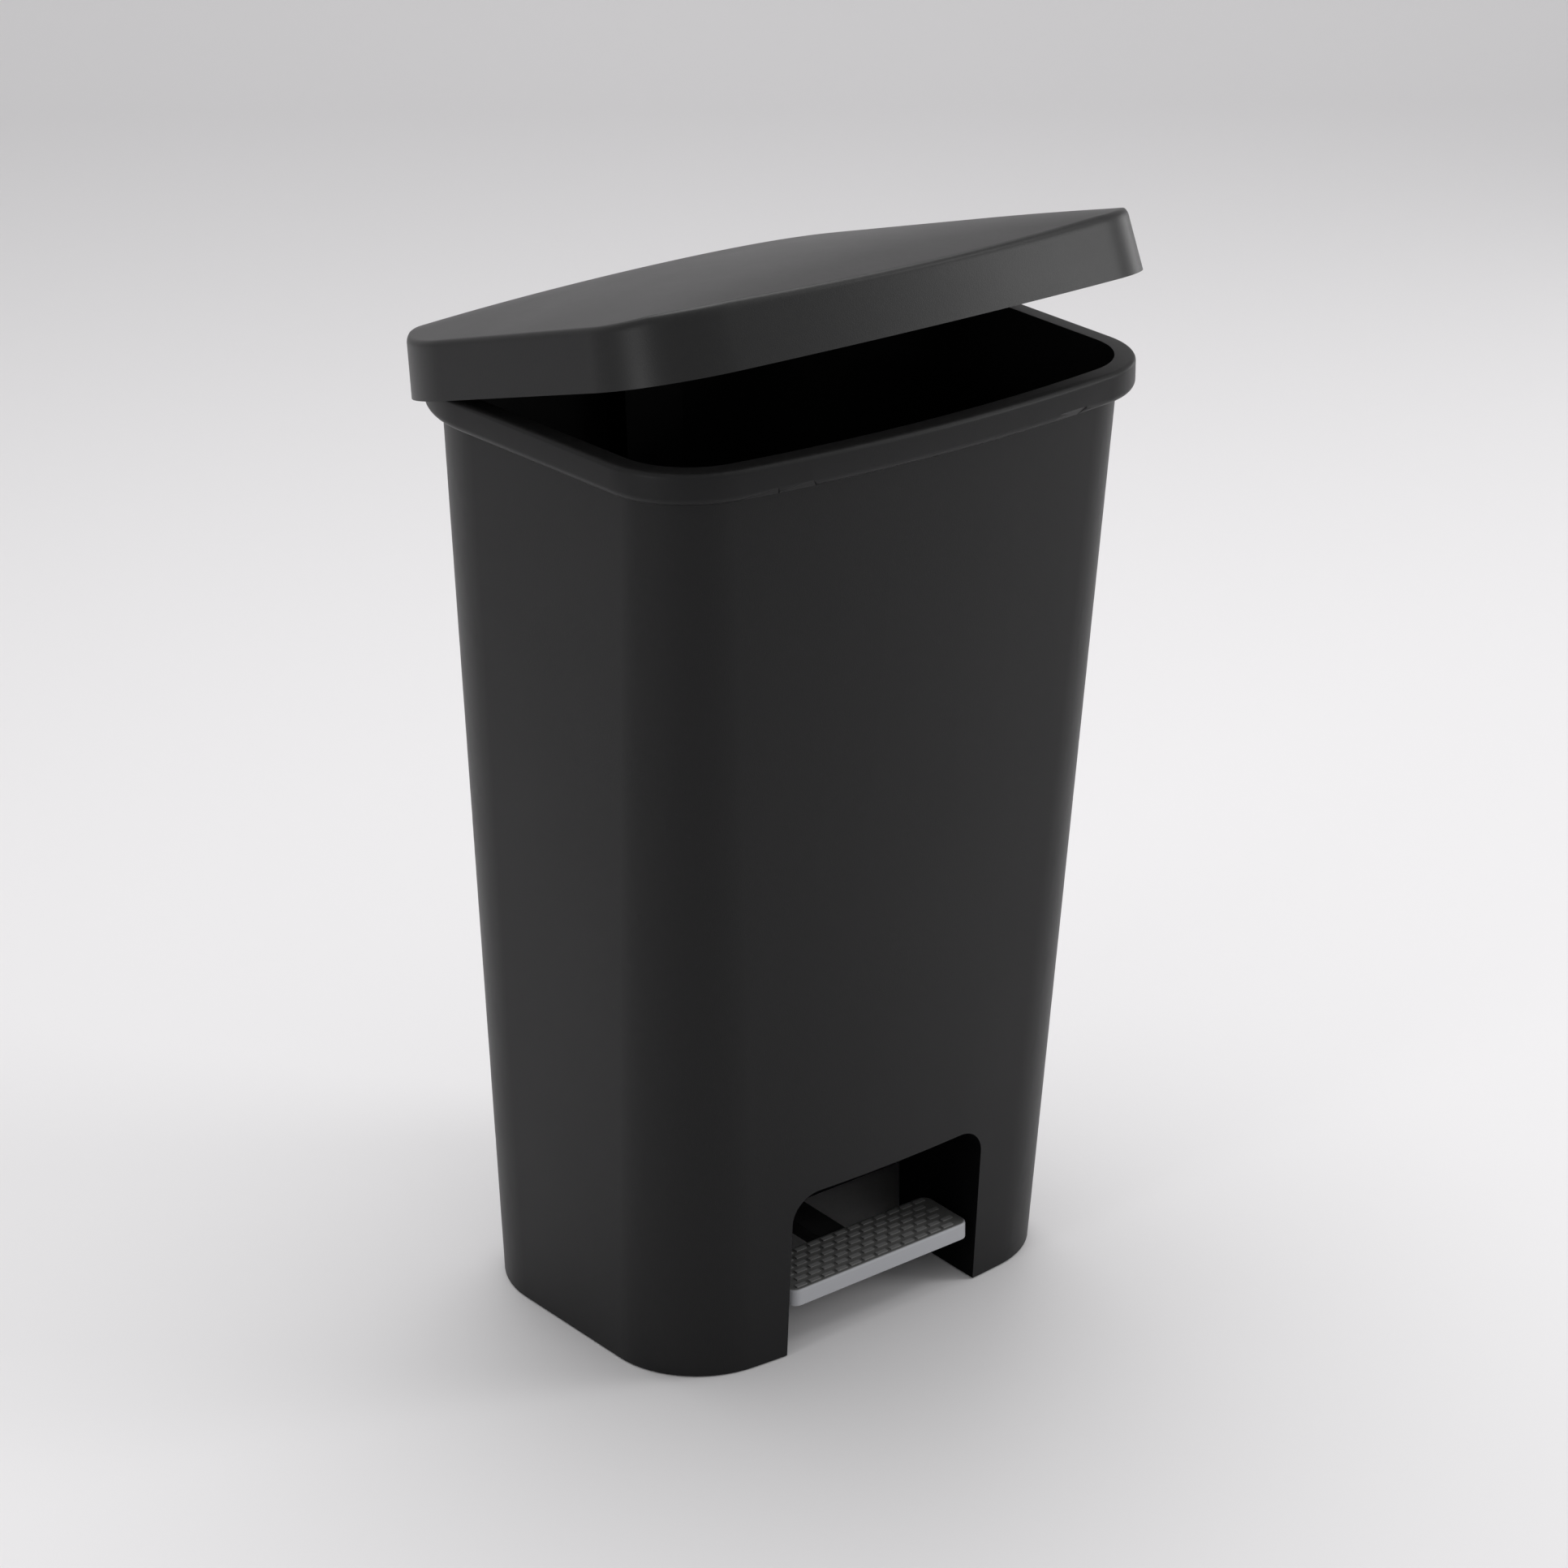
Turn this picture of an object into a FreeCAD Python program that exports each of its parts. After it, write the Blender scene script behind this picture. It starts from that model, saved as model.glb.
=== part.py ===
"""Pedal trash can: a tapered plastic bin whose lid is lifted by a foot pedal.

Frame: millimetres, X to the right, Y to the back, Z up. The parts are drawn
about the centre of the base and then set back by `frame_shift`, so that the
origin lies on the floor under the middle of the whole can. Everything is drawn
with the lid ajar by `lid_rest_angle` and the pedal pressed to match.
"""
import math
import os

import FreeCAD
import Part
import Sketcher

DOC = FreeCAD.newDocument("pedal_trash_can")
SHEET = DOC.addObject("Spreadsheet::Sheet", "size")
SCRATCH = DOC.addObject("Spreadsheet::Sheet", "scratch")

SIZES = [
    # overall body
    ("rim_height", 600, "floor to the top of the rim"),
    ("base_width", 317, "width of the base, left to right"),
    ("base_depth", 228, "depth of the base at its corners"),
    ("base_front_radius", 63, "front corner radius at the base"),
    ("base_back_radius", 69, "back corner radius at the base"),
    ("base_bow", 4.5, "how far the front bows out at the base"),
    ("top_width", 353, "width of the wall at rim height"),
    ("top_depth", 283, "depth of the wall at rim height"),
    ("top_front_radius", 48.5, "front corner radius at rim height"),
    ("top_back_radius", 91, "back corner radius at rim height"),
    ("top_bow", 9, "how far the front bows out at rim height"),
    ("top_shift", -10.5, "top section set forward of the base"),
    ("side_taper", 0.013, "back wider, front narrower by this fraction"),
    ("wall", 3, "moulded wall thickness"),
    ("floor_height", 58, "top of the raised inner floor"),
    ("foot_gap", 0.8, "wall held off the ground by the rubber feet"),
    # rim
    ("rim_offset", 9.5, "rolled rim outside the wall"),
    ("rim_band", 19, "height of the rolled rim"),
    ("rim_lip", 3.5, "thickness of the outer rim band"),
    ("rim_crown", 8, "thickness of the rim over its hollow"),
    ("rim_tuck", 5, "lower outer rounding of the rim band"),
    ("rim_round", 3.2, "outer rounding of the rim crest"),
    # pedal recess
    ("recess_width", 149, "width of the pedal opening"),
    ("recess_height", 114, "height of the pedal opening"),
    ("recess_corner", 19, "top corner radius of the opening"),
    ("recess_back", -45, "y of the back of the recess"),
    # rod channel
    ("channel_width", 36, "clear width of the rod channel"),
    ("channel_front", 11, "channel floor in front of the rod line"),
    ("rod_inset", 9, "rod line inside the back face"),
    ("guide_low", 140, "height of the lower rod guide"),
    ("guide_high", 420, "height of the upper rod guide"),
    ("guide_tall", 16, "height of a rod guide"),
    ("ledge", 3, "thickness of the ribs that trap a guide"),
    ("ledge_reach", 5, "ribs reach in from the channel sides"),
    ("cover_drop", 65, "channel cover ends below the top of the rim"),
    ("cover_bottom", 46, "bottom of the channel cover"),
    ("cover_lap", 4, "cover laps each side of the channel"),
    ("cover_thick", 2.5, "thickness of the channel cover"),
    ("post_radius", 4, "screw post radius in the channel"),
    ("post_inset", 3.4, "screw posts inside the channel walls"),
    ("post_low", 80, "lowest screw post row"),
    ("post_mid", 285, "middle screw post row"),
    ("post_edge", 19, "highest screw post row below the top of the cover"),
    ("small_screw", 1.5, "shank radius of the cover and lid screws"),
    ("small_head", 3, "head radius of those screws"),
    ("head_tall", 2, "head height of those screws"),
    ("small_length", 12, "length of those screws"),
    # lid
    ("lid_gap", 5.4, "lid outside the rim"),
    ("lid_front_gap", 9, "extra room between lid and rim at the front"),
    ("lid_wall", 2.5, "lid wall thickness"),
    ("lid_lap", 29, "shut lid reaches below the top of the rim"),
    ("skirt_tall", 33.5, "height of the lid skirt"),
    ("skirt_draft", 3.4, "skirt narrows by this towards the top"),
    ("lid_crown", 16, "rise of the domed top, left to right"),
    ("lid_arch", 21, "rise of the arch of the top, front to back"),
    ("lid_rest_angle", 15.5, "lid opening in the drawn position"),
    # hinge
    ("hinge_out", 13.5, "hinge axis behind the wall at rim height"),
    ("hinge_drop", 37, "hinge axis below the top of the rim"),
    ("hinge_inset", 7.8, "each hinge inside the end of the straight back"),
    ("knuckle_radius", 6.5, "hinge knuckle radius"),
    ("knuckle_width", 20, "lid knuckle width"),
    ("ear_thick", 5, "hinge ear thickness"),
    ("hinge_pin_radius", 2.5, "hinge pin radius"),
    ("pin_flange", 1.5, "pin heads stand out from their shanks"),
    ("pin_spare", 3, "pin length beyond the part it holds"),
    ("web_out", 5.5, "gusset behind the skirt over a knuckle"),
    ("web_tall", 22, "height of that gusset"),
    # lid crank and rod
    ("crank_thick", 6, "crank plate thickness"),
    ("crank_flange_half", 15, "half width of the crank flange"),
    ("crank_screw_x", 10, "crank screw spacing, half"),
    ("crank_screw_y", 10, "crank screws in front of the hinge axis"),
    ("crank_screw_length", 6, "length of the crank screws"),
    ("crank_ratio", 1.09, "rod travel over crank reach, per radian of lid"),
    ("crank_half_angle", 32.5, "crank swings this far either side of level"),
    ("pin_radius", 2.5, "rod pin radius"),
    ("slot_gap", 0.75, "linkage slot clearance round the pin"),
    ("slot_meat", 2, "material round a linkage slot"),
    ("rod_radius", 3, "push rod radius"),
    ("clevis_half", 7.5, "half width of the top clevis"),
    ("clevis_deep", 10, "depth of both clevises"),
    ("bottom_clevis_half", 8.5, "half width of the bottom clevis"),
    ("socket", 16, "rod socket length in a clevis"),
    # pedal linkage
    ("pivot_up", 34, "z of the pedal pivot"),
    ("pivot_radius", 4, "pedal pivot pin radius"),
    ("rear_pin_up", 22, "z of the rod bottom pin"),
    ("hub_radius", 10, "lever hub radius"),
    ("hub_half", 13, "half width of the lever hub"),
    ("bush_wall", 2, "pivot bush wall"),
    ("clip_thick", 1, "retaining clip thickness"),
    ("clip_mouth", 2.8, "half width of the mouth of the clip"),
    ("arm_front_width", 20, "front arm width"),
    ("arm_front_tall", 10, "front arm height"),
    ("arm_rear_width", 8, "rear arm width"),
    ("arm_rear_tall", 12, "rear arm height"),
    ("bracket_cheek", 4, "pivot bracket cheek thickness"),
    ("bracket_half_depth", 14, "half depth of the bracket"),
    ("bracket_half_width", 34, "half width of the bracket flange"),
    ("bracket_flange", 4, "bracket flange thickness"),
    ("boss_tall", 9, "floor bosses for the bracket"),
    ("boss_radius", 4.5, "floor boss radius"),
    ("bracket_screw_x", 27, "bracket screw spacing, half"),
    ("bracket_screw_y", 8, "bracket screw spacing, half"),
    ("big_screw", 1.8, "bracket screw shank radius"),
    ("big_head", 4, "bracket screw head radius"),
    # tread
    ("tread_width", 141.4, "pedal tread width"),
    ("tread_front", -117, "y of the tread front face"),
    ("tread_depth", 44, "tread front to back"),
    ("tread_top", 45, "z of the tread surface in the drawn position"),
    ("tread_tall", 11, "height of the tread lip"),
    ("tread_wall", 3, "tread wall thickness"),
    ("tread_round", 2, "rounding of the tread edges"),
    ("tread_corner", 7, "tread corner radius in plan"),
    ("dash_long", 7.9, "length of a grip dash"),
    ("dash_wide", 3, "width of a grip dash"),
    ("dash_tall", 0.7, "height of a grip dash"),
    ("dash_step_x", 10.6, "grip dash pitch across"),
    ("dash_step_y", 6.9, "grip dash pitch front to back"),
    ("dash_rows", 6, "rows of grip dashes, every second one half a pitch across"),
    ("dash_columns", 12, "grip dashes in a row"),
    ("dash_first", 2.8, "first row behind the front edge"),
    ("cross_half", 48, "half width of the lever cross bar"),
    ("cross_deep", 22, "cross bar depth"),
    ("cross_tall", 6, "cross bar height"),
    ("tread_screw_x", 36, "tread screw spacing, half"),
    ("tread_screw_length", 8, "length of the tread screws"),
    # feet and buffers
    ("foot_radius", 12, "rubber foot radius"),
    ("foot_tall", 3.8, "rubber foot height"),
    ("shelf_radius", 20, "shelf radius over a foot"),
    ("shelf_thick", 3.2, "shelf thickness"),
    ("foot_x", 124, "foot position, half spacing across"),
    ("foot_front", -79, "y of the front feet"),
    ("foot_back", 78.5, "y of the back feet"),
    ("buffer_radius", 5, "lid buffer radius"),
    ("buffer_tall", 3, "lid buffer height"),
    ("buffer_x", 70, "lid buffer position across"),
    ("seat_tall", 7, "height of a buffer seat"),
    # clearances
    ("gap_run", 0.05, "running fit, on the radius"),
    ("gap_fit", 0.1, "parts that sit together"),
    ("gap_side", 0.5, "side play in the linkage"),
    ("gap_free", 0.3, "faces that pass each other"),
    ("bite", 2, "how far an added piece sinks into a wall"),
    ("over", 30, "length by which cutters overshoot"),
    ("frame_shift", 8, "everything set back so that the origin lies under the middle"),
]


NAMES: set = set()


def add_cell(name: str, content: str) -> None:
    """Write one named cell on the next row of the sheet."""
    row = len(NAMES) + 1
    SHEET.set(f"B{row}", content)
    SHEET.setAlias(f"B{row}", name)
    NAMES.add(name)


def fill_sheet() -> None:
    """Write the driving sizes and the sizes that follow from them."""
    for name, amount, note in SIZES:
        add_cell(name, str(amount))
        SHEET.set(f"A{len(NAMES)}", note)
    derived = []
    for end in ("base", "top"):
        shift = "top_shift" if end == "top" else "0"
        half = f"{end}_width * (1 - side_taper) / 2 - {end}_front_radius"
        derived += [
            (f"{end}_wide_back", f"={end}_width * (1 + side_taper)"),
            (f"{end}_wide_front", f"={end}_width * (1 - side_taper)"),
            (f"{end}_y_back", f"={shift} + {end}_depth / 2"),
            (f"{end}_y_front", f"={shift} - {end}_depth / 2 - {end}_bow"),
            (f"{end}_r_back", f"={end}_back_radius"),
            (f"{end}_r_front", f"={end}_front_radius"),
            (f"{end}_r_bow", f"={end}_front_radius + (({half})^2 + {end}_bow^2) / (2 * {end}_bow)"),
        ]
    derived += [
        ("rod_foot", "=base_y_back - rod_inset"),
        ("lean", "=atan((top_y_back - base_y_back) / rim_height) / (1 deg)"),
        ("rim_low", "=rim_height - rim_band"),
        ("cover_top", "=rim_height - cover_drop"),
        ("post_high", "=cover_top - post_edge"),
        ("lid_low", "=rim_height - lid_lap"),
        ("hinge_back", "=top_y_back + hinge_out"),
        ("hinge_up", "=rim_height - hinge_drop"),
        ("post_side", "=channel_width / 2 - post_inset"),
        ("floor_under", "=floor_height - wall"),
        ("skirt_top", "=lid_low + skirt_tall"),
        ("hinge_side", "=top_wide_back / 2 - top_r_back - hinge_inset"),
        ("hinge_along", "=(hinge_back - rod_foot) * sin(lean) + hinge_up * cos(lean)"),
        ("crank_reach", "=(hinge_back - rod_foot) * cos(lean) - hinge_up * sin(lean)"),
        ("rod_drop", "=crank_ratio * crank_reach * (crank_half_angle - lid_rest_angle) * pi / 180"),
        ("slot_far", "=crank_reach / cos(crank_half_angle)"),
        ("slot_run", "=slot_far - crank_reach"),
        ("crank_slot_reach", "=(crank_reach + slot_far) / 2"),
        ("top_pin_along", "=hinge_along - rod_drop"),
        ("bottom_pin_along", "=rear_pin_up / cos(lean)"),
        ("rear_pin_back", "=rod_foot + rear_pin_up * tan(lean)"),
        ("rear_drop", "=pivot_up - rear_pin_up"),
        ("rear_reach", "=sqrt(rear_pin_back^2 + rear_drop^2)"),
        ("rear_angle", "=atan(rear_drop / rear_pin_back) / (1 deg)"),
        ("crank_angle", "=crank_half_angle - lean"),
        ("slot_half", "=pin_radius + slot_gap"),
        ("slot_rim", "=pin_radius + slot_gap + slot_meat"),
        ("lid_offset", "=rim_offset + lid_gap"),
    ]
    for name, formula in derived:
        add_cell(name, formula)
    DOC.recompute()


def value(name: str) -> float:
    """Return a sheet value as a plain number."""
    cell = SHEET.get(name)
    return float(getattr(cell, "Value", cell))


def bind(obj, **props: str):
    """Bind properties to expressions; `x`, `y`, `z` mean the placement."""
    for prop, text in props.items():
        path = f".Placement.Base.{prop}" if prop in ("x", "y", "z") else prop
        obj.setExpression(path, sheet_words(text))
    return obj


def sheet_words(text: str) -> str:
    """Prefix every sheet name in an expression with the sheet."""
    out = ""
    word = ""
    for char in text + " ":
        if char.isalnum() or char == "_":
            word += char
            continue
        if word and word in NAMES:
            word = f"size.{word}"
        out += word + char
        word = ""
    return out.strip()


def box(name: str, x0: str, x1: str, y0: str, y1: str, z0: str, z1: str):
    """Return a box between two corners."""
    obj = DOC.addObject("Part::Box", name)
    bind(obj, Length=f"({x1}) - ({x0})", Width=f"({y1}) - ({y0})", Height=f"({z1}) - ({z0})")
    return bind(obj, x=x0, y=y0, z=z0)


def rod(name: str, radius: str, length: str, axis: str, x: str, y: str, z: str):
    """Return a cylinder that starts at a point and runs along an axis."""
    obj = DOC.addObject("Part::Cylinder", name)
    turns = {
        "x": FreeCAD.Rotation(FreeCAD.Vector(0, 1, 0), 90),
        "y": FreeCAD.Rotation(FreeCAD.Vector(1, 0, 0), -90),
        "z": FreeCAD.Rotation(),
    }
    obj.Placement = FreeCAD.Placement(FreeCAD.Vector(), turns[axis])
    bind(obj, Radius=radius, Height=length)
    return bind(obj, x=x, y=y, z=z)


def fuse(name: str, *shapes):
    """Return the union of the shapes."""
    obj = DOC.addObject("Part::MultiFuse", name)
    obj.Shapes = list(shapes)
    return obj


def common(name: str, first, second):
    """Return the intersection of two shapes."""
    obj = DOC.addObject("Part::MultiCommon", name)
    obj.Shapes = [first, second]
    return obj


def cut(name: str, base, *tools):
    """Return the base with the tools cut away."""
    tool = tools[0] if len(tools) == 1 else fuse(f"{name}_tools", *tools)
    obj = DOC.addObject("Part::Cut", name)
    obj.Base = base
    obj.Tool = tool
    return obj


def group(name: str, *shapes):
    """Return separate solids kept together in one object."""
    obj = DOC.addObject("Part::Compound", name)
    obj.Links = list(shapes)
    return obj


def turn(obj, angle: str, y: str, z: str):
    """Lean an object backwards by an angle about a line along X."""
    obj.Placement = FreeCAD.Placement(
        FreeCAD.Vector(), FreeCAD.Rotation(FreeCAD.Vector(-1, 0, 0), 1)
    )
    obj.setExpression(".Placement.Rotation.Angle", sheet_words(angle))
    c = f"cos({angle})"
    s = f"sin({angle})"
    return bind(obj, y=f"({y}) * (1 - {c}) - ({z}) * {s}", z=f"({z}) * (1 - {c}) + ({y}) * {s}")


def along_rod(obj):
    """Move an object from the rod's own frame to the leaning rod line."""
    obj.Placement = FreeCAD.Placement(
        FreeCAD.Vector(), FreeCAD.Rotation(FreeCAD.Vector(-1, 0, 0), 1)
    )
    obj.setExpression(".Placement.Rotation.Angle", sheet_words("lean"))
    return bind(obj, y="rod_foot")


def swung(obj):
    """Swing a part of the shut lid to its drawn position."""
    return turn(obj, "lid_rest_angle", "hinge_back", "hinge_up")


def plane(body, role: str):
    """Return one of a body's own origin planes."""
    return next(f for f in body.Origin.OriginFeatures if f.Role == role)


def new_body(name: str):
    """Return an empty body."""
    return DOC.addObject("PartDesign::Body", name)


def sketch_on(body, name: str, role: str, height: str = ""):
    """Return a sketch on an origin plane, lifted along its normal."""
    sketch = body.newObject("Sketcher::SketchObject", name)
    sketch.AttachmentSupport = [(plane(body, role), "")]
    sketch.MapMode = "FlatFace"
    if height:
        sketch.setExpression(".AttachmentOffset.Base.z", sheet_words(height))
    return sketch


def section(name: str, level: str, offset: str, front: str = "0") -> dict:
    """Add the sheet cells of a plan at a height, moved out by an offset.

    Args:
        name: prefix of the new cells.
        level: height expression between the base and the rim.
        offset: how far the plan lies outside the wall.
        front: how much further the front lies outside it.
    """
    outs = {"wide_back": 2, "wide_front": 2, "y_back": 1, "y_front": -1,
            "r_back": 1, "r_front": 1, "r_bow": 1}
    cells = {}
    for part, sign in outs.items():
        alias = f"{name}_{part}"
        text = (f"=base_{part} + (top_{part} - base_{part}) * ({level}) / rim_height"
                f" + ({sign}) * ({offset})")
        if part == "y_front":
            text += f" - ({front})"
        add_cell(alias, text)
        cells[part] = alias
    SHEET.recompute()
    return cells


def plan_sketch(body, name: str, cells: dict, height: str):
    """Draw a rounded plan with a bowed front, fully constrained.

    Args:
        body: the body that owns the sketch.
        name: object name of the sketch.
        cells: sheet names returned by `section`.
        height: height expression of the plan.
    """
    sketch = sketch_on(body, name, "XY_Plane", height)
    wb, wf, yb, yf, rb, rf, bow = (value(cells[k]) for k in (
        "wide_back", "wide_front", "y_back", "y_front", "r_back", "r_front", "r_bow"))
    vec = FreeCAD.Vector
    up = vec(0, 0, 1)
    xb = wb / 2 - rb
    xf = wf / 2 - rf
    rise = ((bow - rf) ** 2 - xf ** 2) ** 0.5
    yc = yf + bow - rise
    gamma = math.asin(xf / (bow - rf))
    half = math.pi / 2

    def arc(cx, cy, r, a0, a1):
        return Part.ArcOfCircle(Part.Circle(vec(cx, cy, 0), up, r), a0, a1)

    sketch.addGeometry([
        Part.LineSegment(vec(xb, yb, 0), vec(-xb, yb, 0)),
        arc(-xb, yb - rb, rb, half, 2 * half),
        Part.LineSegment(vec(-wb / 2, yb - rb, 0), vec(-wf / 2, yc, 0)),
        arc(-xf, yc, rf, 2 * half, 3 * half - gamma),
        arc(0, yf + bow, bow, 3 * half - gamma, 3 * half + gamma),
        arc(xf, yc, rf, 3 * half + gamma, 4 * half),
        Part.LineSegment(vec(wf / 2, yc, 0), vec(wb / 2, yb - rb, 0)),
        arc(xb, yb - rb, rb, 0, half),
    ], False)
    rule = Sketcher.Constraint
    for i in range(8):
        sketch.addConstraint(rule("Tangent", i, 2, (i + 1) % 8, 1))
    sketch.addConstraint(rule("Symmetric", 0, 1, 0, 2, -2))
    sketch.addConstraint(rule("Symmetric", 2, 2, 6, 1, -2))
    sketch.addConstraint(rule("Equal", 1, 7))
    sketch.addConstraint(rule("Equal", 3, 5))
    drives = [
        (rule("DistanceY", -1, 1, 0, 1, yb), cells["y_back"]),
        (rule("Radius", 1, rb), cells["r_back"]),
        (rule("Radius", 3, rf), cells["r_front"]),
        (rule("Radius", 4, bow), cells["r_bow"]),
        (rule("DistanceY", -1, 1, 4, 3, yf + bow), f"{cells['y_front']} + {cells['r_bow']}"),
        (rule("DistanceX", 2, 1, 6, 2, wb), cells["wide_back"]),
        (rule("DistanceX", 2, 2, 6, 1, wf), cells["wide_front"]),
    ]
    for constraint, text in drives:
        index = sketch.addConstraint(constraint)
        sketch.setExpression(f"Constraints[{index}]", sheet_words(text))
    return sketch


def loft_body(name: str, low: dict, z0: str, high: dict, z1: str):
    """Return a body lofted between two plans."""
    body = new_body(name)
    first = plan_sketch(body, f"{name}_low", low, z0)
    second = plan_sketch(body, f"{name}_high", high, z1)
    loft = body.newObject("PartDesign::AdditiveLoft", f"{name}_loft")
    loft.Profile = first
    loft.Sections = [second]
    loft.Ruled = True
    return body


def pad_body(name: str, cells: dict, z0: str, tall: str):
    """Return a body padded up from one plan."""
    body = new_body(name)
    sketch = plan_sketch(body, f"{name}_plan", cells, z0)
    pad = body.newObject("PartDesign::Pad", f"{name}_pad")
    pad.Profile = sketch
    pad.setExpression("Length", sheet_words(tall))
    return body


def round_edges(body, radius: str, pick) -> None:
    """Round the edges of a body's tip that `pick` accepts."""
    DOC.recompute()
    tip = body.Tip
    edges = [f"Edge{i}" for i, e in enumerate(tip.Shape.Edges, start=1) if pick(e.BoundBox)]
    fillet = body.newObject("PartDesign::Fillet", f"{body.Name}_{radius}")
    fillet.Base = (tip, edges)
    fillet.setExpression("Radius", sheet_words(radius))


def polygon_body(name: str, role: str, points: list, half: str):
    """Pad a closed polygon both ways from an origin plane.

    Args:
        name: body name.
        role: origin plane the polygon is drawn on.
        points: (across, up) pairs of expressions.
        half: half of the padded length.
    """
    body = new_body(name)
    sketch = sketch_on(body, f"{name}_outline", role)
    spots = [FreeCAD.Vector(number(a), number(b), 0) for a, b in points]
    count = len(spots)
    sketch.addGeometry([Part.LineSegment(spots[i], spots[(i + 1) % count]) for i in range(count)], False)
    rule = Sketcher.Constraint
    for i in range(count):
        sketch.addConstraint(rule("Coincident", i, 2, (i + 1) % count, 1))
    for i, (across, up) in enumerate(points):
        ix = sketch.addConstraint(rule("DistanceX", -1, 1, i, 1, spots[i].x))
        sketch.setExpression(f"Constraints[{ix}]", sheet_words(across))
        iy = sketch.addConstraint(rule("DistanceY", -1, 1, i, 1, spots[i].y))
        sketch.setExpression(f"Constraints[{iy}]", sheet_words(up))
    pad = body.newObject("PartDesign::Pad", f"{name}_pad")
    pad.Profile = sketch
    pad.setExpression("Length", sheet_words(f"2 * ({half})"))
    pad.Midplane = True
    return body


def number(text: str) -> float:
    """Evaluate an expression over the sheet."""
    SCRATCH.set("A1", f"={sheet_words(text)}")
    SCRATCH.recompute()
    cell = SCRATCH.get("A1")
    return float(getattr(cell, "Value", cell))


def both_sides(make, name: str, across: str) -> list:
    """Call `make(name, x)` for the right and the left side."""
    return [make(f"{name}_r", across), make(f"{name}_l", f"-({across})")]


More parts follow.
